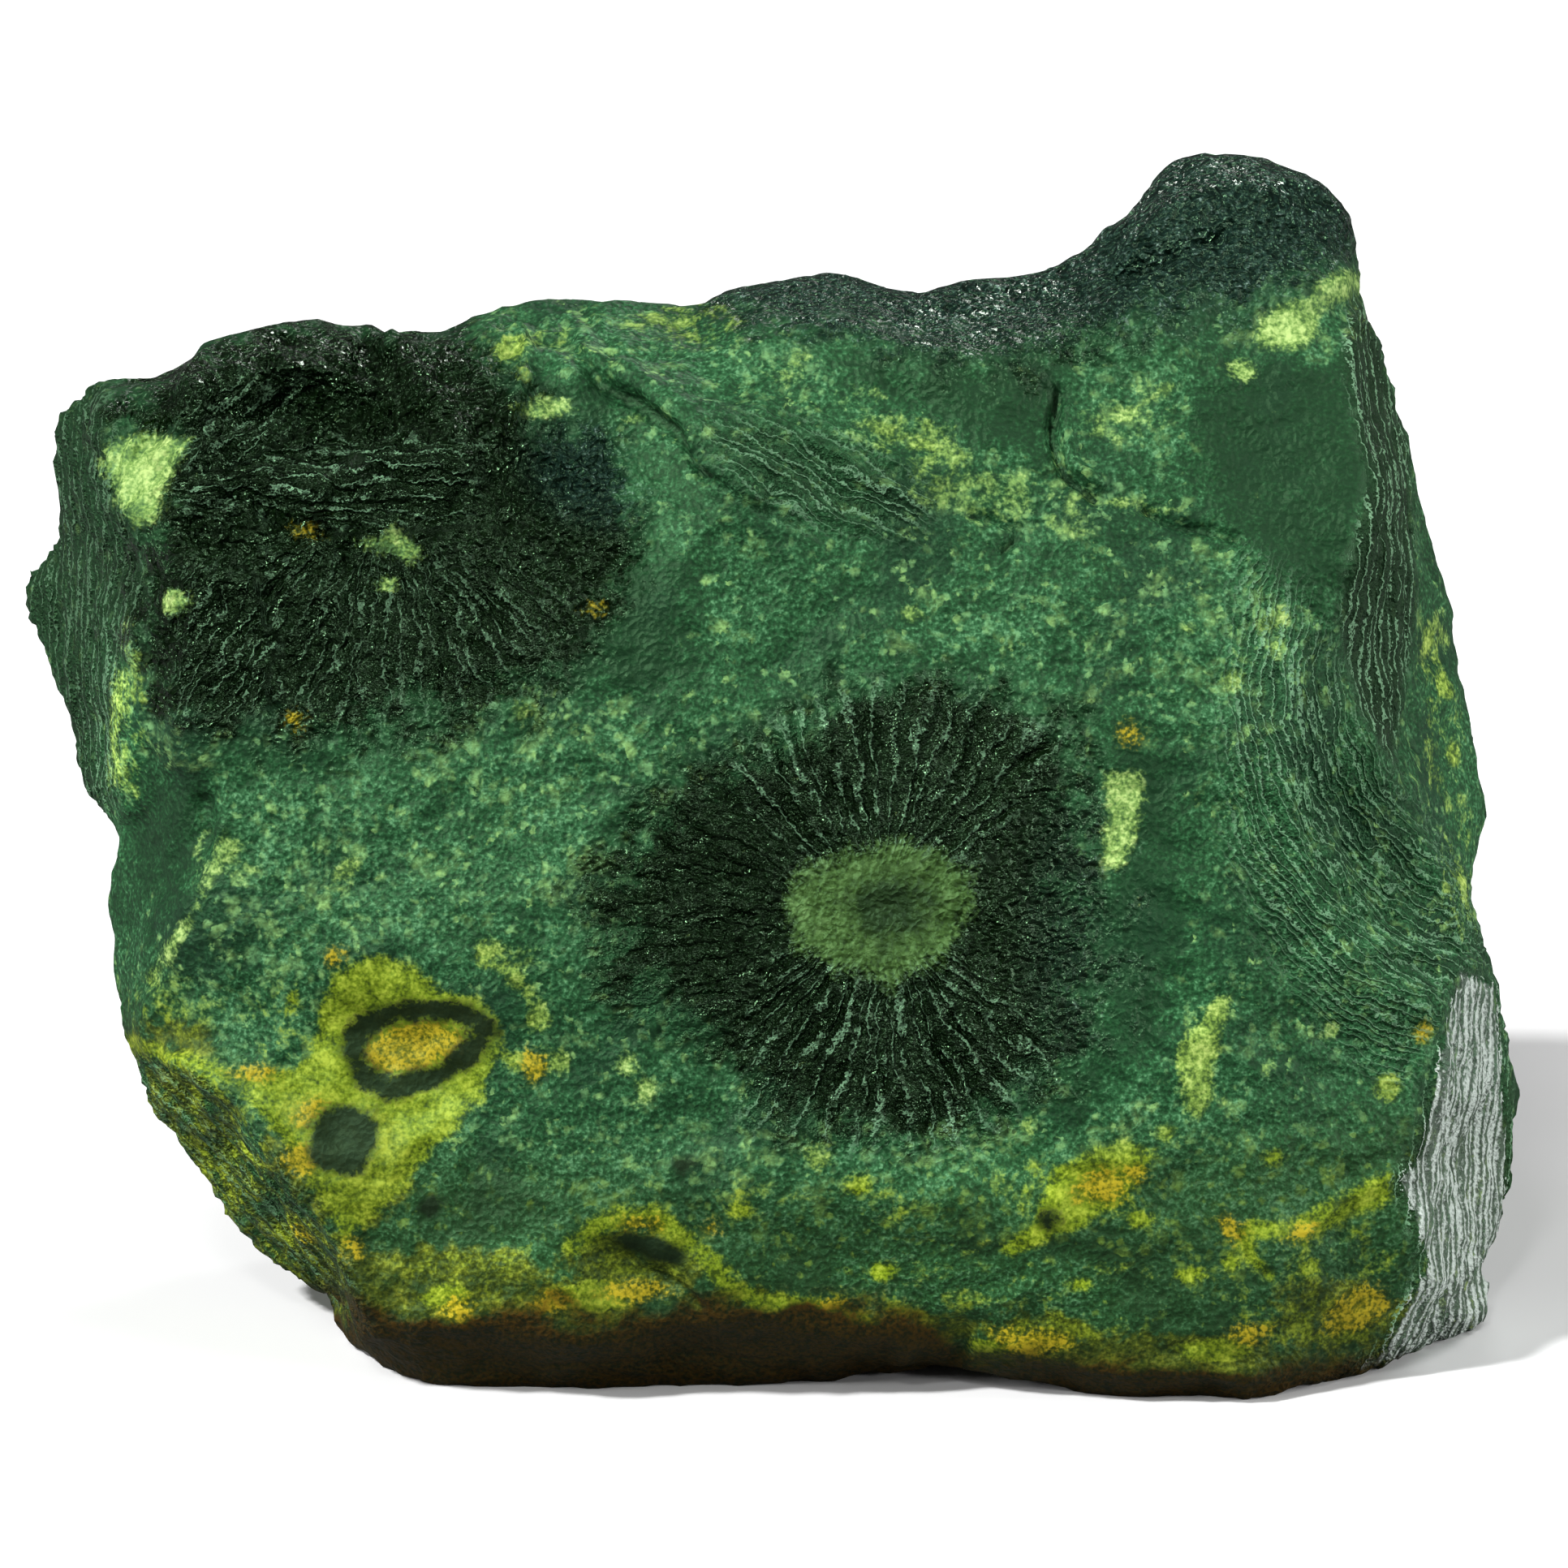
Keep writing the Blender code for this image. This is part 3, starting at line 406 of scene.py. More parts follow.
# Lines on the face, without the forward part: (points, half width, rise)
RELIEF_LINES = {
    "arc_by_bowl": ([(-12.9, 14.5), (-12.3, 13.0), (-11.0, 12.1), (-10.7, 10.4)], 0.32, 0.42),
    "second_arc": ([(-8.9, 14.9), (-8.6, 13.6), (-9.3, 12.4), (-9.9, 11.2)], 0.3, 0.32),
    "bowl_chip_1": ([(-18.6, 12.7), (-17.0, 13.1), (-15.4, 12.8)], 0.24, 0.26),
    "bowl_chip_2": ([(-17.9, 11.9), (-16.4, 12.2), (-14.8, 11.6)], 0.22, 0.26),
    "bowl_ripple_1": ([(-19.8, 10.9), (-18.2, 11.3), (-16.6, 11.0), (-15.0, 11.2)], 0.25, 0.28),
    "bowl_ripple_2": ([(-19.6, 9.6), (-17.8, 9.9), (-16.0, 9.5), (-14.4, 9.9), (-12.6, 9.6)], 0.25, 0.34),
    "bowl_groove": ([(-19.4, 8.1), (-17.2, 7.9), (-15.2, 8.6)], 0.3, -0.34),
    "dark_shelf": ([(-19.4, 6.9), (-17.2, 6.5), (-15.0, 6.1)], 0.28, 0.3),
    "dark_step": ([(-20.4, 4.6), (-18.4, 4.4), (-17.0, 3.6), (-16.4, 2.4)], 0.28, 0.26),
    "top_fold": ([(-9.8, 14.6), (-8.2, 13.9), (-7.0, 13.2)], 0.3, 0.3),
    "nose_fold": ([(-7.6, 11.0), (-6.8, 10.4), (-6.0, 9.9)], 0.2, 0.28),
    "top_crease": ([(-6.6, 15.6), (-6.0, 14.7), (-5.6, 13.7)], 0.16, -0.2),
    "nose_ledge": ([(-6.4, 14.1), (-5.0, 13.3), (-3.6, 12.3), (-2.2, 11.0), (-0.9, 9.7)], 0.26, 0.42),
    "under_ledge": ([(-6.2, 13.3), (-4.8, 12.6), (-3.4, 11.6), (-2.3, 10.4)], 0.28, -0.4),
    "peak_crease": ([(11.2, 16.9), (12.2, 17.4), (13.5, 17.8), (14.8, 18.2)], 0.22, -0.4),
    "upright_fissure": (
        [(9.1, 13.1), (8.95, 12.0), (9.0, 11.0), (9.2, 10.4), (9.7, 9.8), (10.3, 9.3)], 0.16, -0.5,
    ),
    "upright_ridge": ([(9.5, 12.6), (9.4, 11.4), (9.7, 10.5), (10.4, 9.8)], 0.2, 0.26),
    "brown_fissure": ([(11.8, 9.0), (12.5, 8.6), (14.0, 8.5), (15.1, 8.2)], 0.15, -0.36),
    "notch": ([(6.4, 8.9), (7.2, 8.7), (7.75, 8.35), (7.6, 7.9), (7.2, 7.75)], 0.14, -0.36),
    "hook": ([(3.3, 8.75), (2.7, 8.6), (2.3, 8.1), (2.2, 7.3)], 0.1, -0.16),
    "bowl_hollow": ([(-18.4, 12.2), (-16.6, 13.0), (-14.6, 12.8), (-13.2, 12.2)], 1.1, -0.6),
    "bowl_rim": ([(-20.0, 12.4), (-19.0, 14.0), (-16.6, 14.8), (-13.8, 14.6), (-12.2, 13.4)], 0.4, 0.45),
    "low_left_crest": (
        [(-20.0, -9.3), (-17.7, -10.8), (-16.2, -12.7), (-14.5, -15.6), (-13.6, -18.4)], 0.28, 0.35,
    ),
    "left_crest": ([(-18.6, -1.4), (-19.2, -3.4), (-20.0, -4.8), (-21.1, -6.6)], 0.3, 0.35),
    "fine_crack": ([(14.0, 13.0), (15.6, 13.2), (17.2, 13.1), (18.8, 13.35)], 0.09, -0.12),
    "left_groove": (
        [(-19.1, -0.6), (-18.9, -2.2), (-19.3, -3.6), (-20.3, -5.2), (-21.0, -6.6)], 0.35, -0.45,
    ),
    "low_fold": ([(17.4, -15.0), (18.6, -13.9), (20.2, -13.1)], 0.3, 0.22),
    "low_y": ([(15.2, -15.0), (15.6, -15.7), (16.2, -16.3)], 0.14, -0.18),
    "scoop_ripple": ([(18.9, -5.8), (20.2, -5.6), (21.6, -6.1), (22.7, -6.2)], 0.22, 0.24),
    "chip_glass": ([(-4.9, -16.2), (-4.1, -16.3), (-3.4, -16.8), (-2.9, -17.3)], 0.16, -0.16),
    "feather_1": ([(-0.8, 12.0), (1.2, 11.2), (2.6, 10.1), (4.4, 9.2)], 0.22, 0.26),
    "feather_2": ([(0.6, 12.3), (2.4, 11.4), (4.0, 10.4), (5.2, 9.9)], 0.22, 0.22),
    "feather_3": ([(-1.9, 10.9), (0.0, 10.3), (1.4, 9.2), (2.9, 8.5)], 0.22, 0.22),
}

# Where the broken face is drawn out into fine ribs. They run out from a centre, round it, or along the line
# from it to the middle of the outline: (way, centre, rib width, stretch, height, how pale the crests are,
# how dim the ground is, softness of the outline, outline)
# The pale crests are painted glints and sheen, in places over the stone's own paler streaks; on the lower
# right face they are a painted white reflection
MIDDLE_RAYS = (3.2, -4.5)
RIBS = {
    "rays_above": ("out", MIDDLE_RAYS, 0.6, 5, 0.2, 0.34, 0.0, 0.8, [
        (0.6, 2.6), (3.0, 3.4), (6.4, 3.2), (9.4, 1.6), (6.4, -2.4), (3.0, -2.0), (0.4, -2.6), (-2.4, 0.6),
    ]),
    "rays_below": ("out", MIDDLE_RAYS, 0.6, 5, 0.22, 0.4, 0.0, 0.8, [
        (0.2, -5.4), (3.4, -7.0), (5.6, -5.6), (8.0, -7.6), (9.4, -9.6), (6.4, -12.0), (2.4, -12.2),
        (-1.4, -11.4), (-1.2, -7.6),
    ]),
    "rays_left": ("out", MIDDLE_RAYS, 0.5, 3, 0.16, 0.0, 0.0, 1.0, [
        (0.2, -2.0), (-0.8, -5.6), (-2.0, -9.0), (-6.4, -7.4), (-6.6, -3.4), (-3.2, 0.2),
    ]),
    "bowl_left": ("along", (-38.0, -11.0), 0.5, 3, 0.16, 0.4, 0.0, 0.7, [
        (-20.2, 10.4), (-20.0, 12.6), (-18.2, 13.6), (-16.4, 13.4), (-17.0, 11.4), (-18.6, 10.2),
    ]),
    "bowl_middle": ("along", (-60.0, 12.0), 0.5, 3, 0.16, 0.45, 0.0, 0.7, [
        (-20.2, 10.4), (-17.4, 11.2), (-13.4, 11.6), (-10.2, 11.4), (-10.6, 9.2), (-13.6, 8.8),
        (-17.6, 9.2), (-20.2, 8.6),
    ]),
    "dark_left": ("along", (-34.0, -21.0), 0.45, 3, 0.16, 0.35, 0.0, 0.8, [
        (-20.2, 7.2), (-17.6, 7.0), (-15.8, 4.6), (-17.2, 2.4), (-20.4, 2.2),
    ]),
    "dark_rays": ("out", (-13.2, 10.4), 0.45, 3, 0.14, 0.24, 0.0, 1.2, [
        (-17.5, 7.5), (-9.0, 7.5), (-7.5, 5.5), (-10.0, 2.6), (-14.0, 1.8), (-18.0, 2.4), (-19.2, 5.0),
    ]),
    "left_face": ("along", (-21.6, 40.0), 0.55, 8, 0.14, 0.22, 0.75, 0.5, [
        (-25.9, 6.6), (-24.4, 14.0), (-22.6, 13.4), (-22.3, 9.8), (-21.1, 6.6), (-22.1, 3.4), (-22.3, -1.0),
        (-23.9, -1.0), (-24.6, 4.0),
    ]),
    "scoop": ("round", (25.4, 3.4), 0.3, 9, 0.12, 0.4, 0.0, 1.1, [
        (15.4, 7.6), (17.0, 6.6), (18.4, 4.4), (20.2, 0.6), (22.6, -3.2), (24.0, -5.8), (22.6, -7.4),
        (20.6, -10.0), (18.4, -8.4), (16.4, -5.2), (15.2, -2.4), (14.8, 2.0),
    ]),
    "right_band": ("along", (17.6, 40.0), 0.6, 10, 0.14, 0.59, 0.9, 0.25, [
        (19.0, 16.4), (19.5, 16.2), (21.0, 11.4), (21.2, 6.0), (20.4, 0.6), (19.2, 2.6), (18.6, 5.6),
        (19.2, 8.4), (19.6, 10.2), (19.1, 12.4), (18.7, 14.6),
    ]),
    "low_right_face": ("along", (24.4, 40.0), 0.5, 14, 0.16, 1.0, 0.3, 0.35, [
        (22.5, -6.0), (21.8, -9.0), (21.2, -12.2), (20.4, -13.2), (21.4, -16.0), (20.0, -18.8),
        (17.6, -20.4), (24.2, -18.4), (24.4, -12.0), (24.0, -6.6),
    ]),
    "feather": ("along", (-30.0, 28.0), 0.42, 8, 0.16, 0.35, 0.5, 0.9, [
        (-2.6, 12.0), (-0.6, 12.3), (2.0, 11.6), (5.0, 9.6), (4.2, 8.4), (0.6, 8.8), (-1.8, 10.2),
    ]),
    "low_left_face": ("along", (-34.0, 4.0), 0.6, 6, 0.2, 0.15, 0.0, 0.5, [
        (-22.2, -8.8), (-19.2, -9.8), (-17.0, -12.4), (-14.6, -16.0), (-13.8, -18.6), (-16.0, -17.2),
        (-21.8, -11.0),
    ]),
}

# Rays are as wide as they say at this radius
RIB_RADIUS = 5.0
RIB_WANDER = 0.3
RIB_WANDER_LENGTH = 1.5

# How far ribs along a side face lean across its depth, and how much all ribs are drawn out along it
RIB_DEPTH = 0.6
RIB_STRETCH_BACK = 3

# The forward range in which the ribs of the front fade out
RIB_ENDS = (-6, -1.5)
PLAIN_RIB_WIDTH = 0.6

# The markings. An outline is a closed list of (across, up) points. A dot is (across, up, half width,
# half height), with its tilt in degrees if it has one. A stripe is (points, half width). They lie on the
# front face unless their name says otherwise.
DARK_OUTLINES = {
    "upper_left_orb": [
        (-20.6, 14.4), (-16.5, 15.8), (-10.6, 15.2), (-9.4, 13.8), (-8.4, 12.4), (-5.6, 11.4), (-5.0, 9.4),
        (-4.9, 6.8), (-6.2, 4.6), (-9.2, 2.6), (-13.0, 1.6), (-17.8, 1.7), (-21.0, 2.4), (-21.9, 5.0),
        (-21.6, 8.0), (-20.8, 11.0), (-22.8, 12.4),
    ],
    "middle_orb": [
        (2.0, 3.1), (4.6, 3.5), (7.4, 3.1), (9.6, 1.8), (10.2, -1.0), (10.6, -4.0), (10.6, -7.2),
        (9.4, -9.6), (7.0, -11.2), (4.0, -11.9), (0.0, -11.4), (-1.4, -9.6), (-3.2, -7.8), (-6.2, -6.6),
        (-6.6, -4.0), (-5.0, -1.5), (-3.4, 0.2), (-1.0, 1.2),
    ],
    "top_and_peak": [
        (-2.4, 16.0), (2.0, 15.1), (5.0, 14.5), (8.0, 14.2), (11.0, 14.7), (12.5, 15.6), (15.0, 15.9),
        (17.0, 16.5), (18.5, 17.4), (20.4, 18.0), (18.0, 23.0), (11.0, 22.0), (7.0, 19.0), (0.0, 19.0),
        (-4.0, 17.6),
    ],
}

# Where the green ground has few flecks
PLAIN_OUTLINES = {
    "upper_green": [(1.4, 14.6), (9.0, 13.8), (8.6, 10.8), (6.0, 11.6), (4.2, 12.8), (2.2, 13.2)],
    "right_green": [
        (14.6, 13.8), (19.2, 14.2), (19.8, 10.6), (18.8, 6.4), (16.6, 6.6), (14.4, 9.6), (13.2, 12.0),
    ],
    "beside_orb": [(-5.4, 7.2), (-3.6, 6.6), (-2.8, 4.0), (-4.4, 2.6), (-6.8, 3.6)],
    "right_of_orb": [
        (11.0, 2.4), (12.6, 1.2), (13.4, -2.4), (13.4, -7.4), (11.6, -10.0), (9.6, -11.4), (10.4, -8.0),
        (11.2, -3.0),
    ],
    "left_edge": [(-21.8, 0.4), (-19.6, 0.2), (-19.0, -2.2), (-20.0, -4.4), (-22.0, -4.4)],
    "under_top": [(-10.4, 13.8), (-8.0, 13.5), (-5.6, 13.1), (-6.0, 11.4), (-9.8, 11.8)],
}

LIME_OUTLINES = {
    "left_flame": [
        (-22.9, 10.7), (-22.7, 11.4), (-21.6, 11.7), (-19.7, 11.6), (-20.3, 10.9), (-20.75, 10.1),
        (-21.1, 8.9), (-21.8, 8.6), (-22.2, 9.4),
    ],
    "under_peak": [
        (15.9, 14.5), (15.9, 15.3), (16.6, 16.1), (17.5, 16.3), (18.1, 16.9), (18.8, 17.2), (19.4, 17.1),
        (19.5, 16.6), (18.7, 16.3), (18.1, 15.8), (17.7, 15.0), (17.0, 14.6),
    ],
    "comet": [
        (-14.3, 8.1), (-13.6, 8.3), (-13.2, 8.6), (-12.6, 8.2), (-12.25, 7.75), (-12.5, 7.45), (-13.0, 7.6),
        (-13.7, 7.85),
    ],
    "wedge": [
        (10.7, 0.3), (11.9, 0.35), (12.0, -0.9), (11.6, -2.0), (11.3, -2.85), (10.75, -2.7), (10.7, -2.0),
        (10.95, -1.2),
    ],
    "low_strip": [
        (14.9, -7.2), (14.6, -8.2), (14.3, -10.4), (13.9, -11.2), (13.5, -10.9), (13.1, -8.9), (14.0, -8.1),
        (14.4, -7.2),
    ],
    "eye_patch": [
        (-14.5, -6.0), (-13.4, -5.85), (-12.3, -6.3), (-11.4, -6.9), (-10.4, -7.2), (-9.6, -7.9),
        (-9.4, -8.9), (-10.0, -9.8), (-10.1, -10.5), (-11.0, -11.6), (-12.2, -12.7), (-12.7, -13.6),
        (-14.7, -15.2), (-15.5, -14.0), (-16.6, -12.3), (-17.7, -10.9), (-18.9, -9.7), (-16.7, -9.7),
        (-15.8, -9.3), (-15.6, -7.6), (-15.1, -6.4),
    ],
    "low_right": [
        (8.3, -14.9), (9.1, -12.9), (10.2, -12.2), (11.5, -12.0), (12.4, -12.4), (11.7, -13.6),
        (10.8, -14.4), (9.3, -15.1), (7.6, -15.8), (7.2, -15.6),
    ],
    "right_strip": [
        (15.3, -15.0), (16.9, -15.3), (18.4, -14.8), (19.4, -14.2), (20.5, -14.0), (20.3, -13.1),
        (19.2, -13.5), (18.2, -14.0), (17.0, -14.6), (15.6, -14.6),
    ],
}
LIME_DOTS = [
    (-20.3, 6.2, 0.5, 0.42), (-13.3, 6.7, 0.3, 0.2), (-9.0, 14.6, 0.7, 0.5, 30), (-7.9, 12.6, 0.9, 0.3, 8),
    (-4.9, 12.2, 0.35, 0.16), (3.3, 11.9, 0.7, 0.3, -24), (4.6, 11.4, 0.7, 0.25, -10),
    (10.6, 11.7, 0.3, 0.2, 40), (11.6, 12.4, 0.5, 0.22, 40), (12.8, 13.1, 0.3, 0.25, 40),
    (15.4, 13.8, 0.4, 0.35), (11.3, 9.5, 0.4, 0.2), (16.4, 5.5, 0.45, 0.3, 40), (16.5, 4.6, 0.35, 0.3),
    (15.0, 3.6, 0.3, 0.25), (13.4, 5.2, 0.3, 0.22), (4.3, 5.6, 0.3, 0.25), (12.9, -11.7, 0.3, 0.28),
    (16.3, -9.5, 0.22, 0.26), (18.3, -8.3, 0.22, 0.22), (20.2, -10.2, 0.42, 0.5), (21.5, -8.4, 0.28, 0.32),
    (12.0, -14.8, 0.4, 0.3), (13.5, -16.5, 0.5, 0.22), (14.8, -16.0, 0.35, 0.26), (1.1, -12.4, 0.4, 0.35),
    (2.4, -13.5, 0.4, 0.3), (-5.2, -9.4, 0.35, 0.28), (-4.6, -10.2, 0.3, 0.26), (-9.9, -5.7, 0.4, 0.3),
    (-8.9, -6.5, 0.4, 0.3, -40), (-8.1, -7.8, 0.36, 0.5), (-7.7, -9.4, 0.35, 0.4), (-8.9, -9.3, 0.5, 0.3),
    (-14.5, -2.8, 0.4, 0.3, 20), (-18.6, -2.2, 0.5, 0.35, 30), (-8.7, 2.4, 0.35, 0.3),
    (-16.4, -7.2, 0.2, 0.6, -15), (-6.4, -17.3, 1.3, 0.5, 4), (-11.3, -17.3, 0.8, 0.4),
    (22.4, 0.9, 0.3, 0.4), (22.1, 3.3, 0.35, 0.5), (21.6, 4.8, 0.3, 0.4), (22.8, -3.5, 0.35, 0.6),
    (6.8, -18.8, 0.8, 0.25), (14.6, -19.0, 1.2, 0.35), (3.4, -16.4, 0.4, 0.3), (-1.4, -14.2, 0.4, 0.3),
    (8.2, -11.4, 0.25, 0.22), (16.5, -12.4, 0.35, 0.25, 20), (17.6, -16.2, 0.4, 0.3),
    (9.8, -16.7, 0.35, 0.25),
]
LIME_STRIPES = [
    ([(-10.2, -5.9), (-9.2, -6.2), (-8.6, -6.9), (-8.2, -7.6)], 0.16),
    ([
        (-7.0, -15.5), (-6.2, -14.8), (-5.0, -14.5), (-4.0, -14.7), (-2.9, -15.6), (-2.0, -16.6),
        (-0.8, -17.4),
    ], 0.34),
    ([(-0.8, -17.3), (1.2, -17.6), (3.0, -18.2), (4.6, -18.7)], 0.3),
    ([(15.2, -15.0), (15.6, -15.8), (16.2, -16.4)], 0.2),
    # The next three stripes lie along ridges: painted highlights on their crests, in lime
    ([(-22.1, 3.8), (-22.4, 2.0), (-22.4, 0.2)], 0.08),
    ([(-18.7, -1.6), (-19.3, -3.4), (-20.1, -4.8), (-21.2, -6.6)], 0.06),
    ([(-19.8, -9.4), (-17.6, -10.8), (-16.2, -12.6), (-14.6, -15.4)], 0.1),
    ([(-22.0, -8.6), (-20.2, -9.3), (-18.8, -9.7)], 0.25),
]
GOLD_DOTS = [
    (-12.35, -8.85, 1.75, 0.78, 12), (-16.2, -12.6, 0.6, 0.5), (-15.9, -10.9, 0.5, 0.35, 30),
    (-8.2, -9.4, 0.36, 0.42), (-18.0, -9.7, 0.6, 0.22), (-14.9, -5.7, 0.3, 0.25), (-11.0, -17.5, 0.5, 0.35),
    (-14.4, -15.5, 0.25, 0.3), (-16.1, -15.2, 0.4, 0.3), (10.6, -13.4, 0.8, 0.6, 20),
    (11.7, -13.0, 0.4, 0.3), (7.3, -18.6, 0.4, 0.3), (17.3, -15.0, 0.4, 0.22, 30),
    (15.1, -14.9, 0.32, 0.26), (15.6, -18.3, 0.5, 0.3), (19.2, -17.7, 1.2, 0.6, 25),
    (-4.9, -14.8, 0.6, 0.3), (-7.8, -17.4, 0.5, 0.3), (-5.0, -17.1, 1.0, 0.35), (11.4, 1.7, 0.34, 0.34),
    (-16.0, 8.55, 0.45, 0.22, -8), (-16.3, 2.2, 0.14, 0.12), (-6.5, 5.9, 0.1, 0.07),
    (21.5, -8.3, 0.2, 0.22), (-2.4, -15.0, 0.3, 0.3), (1.6, -17.6, 0.5, 0.16), (8.6, -18.7, 0.9, 0.4),
]
INK_DOTS = [
    (-14.7, -11.9, 1.1, 1.1), (8.9, -14.6, 0.24, 0.24), (-3.3, -12.7, 0.3, 0.26),
    (-4.6, -15.6, 1.0, 0.3, -20), (-12.0, -14.3, 0.3, 0.18, 30),
]
INK_STRIPES = [
    ([
        (-14.5, -9.0), (-14.3, -8.3), (-13.6, -7.8), (-12.7, -7.6), (-11.7, -7.55), (-10.9, -7.75),
        (-9.9, -8.35), (-10.5, -8.95), (-11.2, -9.5), (-12.2, -10.0), (-13.3, -10.2), (-14.1, -9.8),
        (-14.5, -9.0),
    ], 0.28),
]
RING_OUTLINE = [
    (0.0, -3.9), (0.7, -2.8), (2.0, -2.2), (3.6, -2.0), (5.3, -2.15), (6.2, -3.1), (6.2, -4.2), (5.7, -5.3),
    (4.7, -6.2), (3.5, -6.8), (2.0, -6.4), (0.5, -5.4),
]
RING_CORE = (3.5, -4.15, 1.4, 1.2)

# Orbs on the other sides: (across, up, radius, ring radius), seen from behind
BACK_ORBS = [
    (-12.5, 4.6, 6.2, 1.9), (4.4, 5.6, 5.0, 1.4), (13.6, -3.0, 6.4, 2.1), (-4.2, -6.4, 4.8, 1.3),
    (6.6, -13.6, 3.4, 0.9), (18.4, 9.4, 3.6, 0.0), (-20.4, -5.2, 3.4, 0.9), (0.6, 13.6, 3.0, 0.0),
    (-17.0, -13.4, 3.2, 0.0),
]
BACK_LIME_DOTS = [
    (-3.4, 2.0, 1.8, 1.1, 20), (-18.6, -0.6, 1.4, 0.9, -30), (8.6, 0.2, 1.0, 1.6, 10),
    (-9.8, -9.8, 2.2, 1.2, 10), (2.0, -11.0, 1.4, 0.8, -20), (14.6, -11.6, 2.6, 1.4, 15),
    (19.6, 3.0, 0.9, 1.8), (-7.6, 10.4, 1.2, 0.6), (9.8, 10.2, 1.3, 0.7, -15), (-14.2, -10.8, 1.2, 0.9, 40),
    (-21.6, 7.4, 0.8, 1.2), (21.4, -8.6, 0.8, 1.4), (15.0, 5.4, 0.8, 0.6), (-1.0, -2.2, 0.7, 0.5),
    (-12.0, 12.4, 1.4, 0.6), (4.6, 14.6, 1.0, 0.5),
]
BACK_GOLD_DOTS = [
    (-9.6, -10.0, 0.9, 0.5, 10), (14.8, -11.8, 1.2, 0.6, 15), (8.6, 0.4, 0.4, 0.6), (-3.2, 1.8, 0.6, 0.4),
    (-14.2, -11.0, 0.5, 0.4),
]

# Soft blobs: (across, up, half width, half height, amount). First, where the green ground is flecked.
FLECKED_BLOBS = [
    (0.0, 0.0, 60.0, 60.0, 0.3), (-16.0, -3.0, 7.0, 3.4, 0.75), (-8.0, 0.8, 5.5, 2.8, 0.7),
    (-6.0, -3.8, 3.6, 2.4, 0.85), (14.5, 5.0, 4.5, 4.0, 0.7), (12.5, -9.0, 4.5, 5.0, 0.6),
    (-2.0, -13.4, 7.0, 2.6, 0.8), (8.0, -13.4, 7.0, 2.8, 0.85), (-17.5, -8.0, 4.5, 3.4, 0.9),
    (1.0, 13.8, 4.5, 1.8, 0.8), (8.0, 9.8, 4.5, 2.0, 0.8), (-7.0, 14.6, 4.0, 1.4, 0.7),
    (15.0, -14.5, 6.0, 3.0, 0.7), (6.0, 6.0, 6.0, 2.6, 0.5), (17.5, 15.6, 3.0, 2.0, 0.8),
    (12.0, 12.6, 2.6, 2.0, 0.8), (-21.5, 1.6, 1.6, 4.0, 0.8), (21.8, -10.0, 2.0, 5.0, 0.5),
]

# Where the dark orbs fade, where the surface carries a painted sheen, where the dark is cooler and greyer,
# and where the lime is olive
FADED_BLOBS = [(10.8, -4.6, 3.6, 7.0, 0.4), (-5.6, -3.4, 2.6, 3.4, 0.4), (-12.0, 2.6, 6.0, 1.8, 0.4)]
SHEEN_BLOBS = [(10.6, -5.0, 3.0, 5.0, 0.1), (13.2, 9.4, 1.3, 1.1, 0.35)]
# The cool dark is partly the stone's teal, partly a painted sheen of the top light on the faces that look up
COOL_BLOBS = [
    (14.0, 19.0, 8.0, 5.0, 1.0), (4.0, 16.6, 9.0, 2.6, 1.0), (-5.6, 10.8, 3.0, 2.2, 0.9),
    (11.0, -5.0, 3.0, 6.0, 0.3),
]
OLIVE_BLOBS = [
    (-14.0, -9.6, 6.5, 6.0, 1.0), (-3.4, 15.4, 2.6, 1.5, 0.5), (-8.0, 14.8, 2.4, 1.4, 0.5),
    (22.2, 1.0, 2.0, 6.0, 0.6), (20.5, -10.0, 2.0, 2.6, 0.6), (13.8, -9.0, 1.6, 3.4, 0.4),
    (-21.5, 1.0, 1.6, 4.0, 0.4), (5.0, 11.4, 2.4, 1.6, 0.3),
]

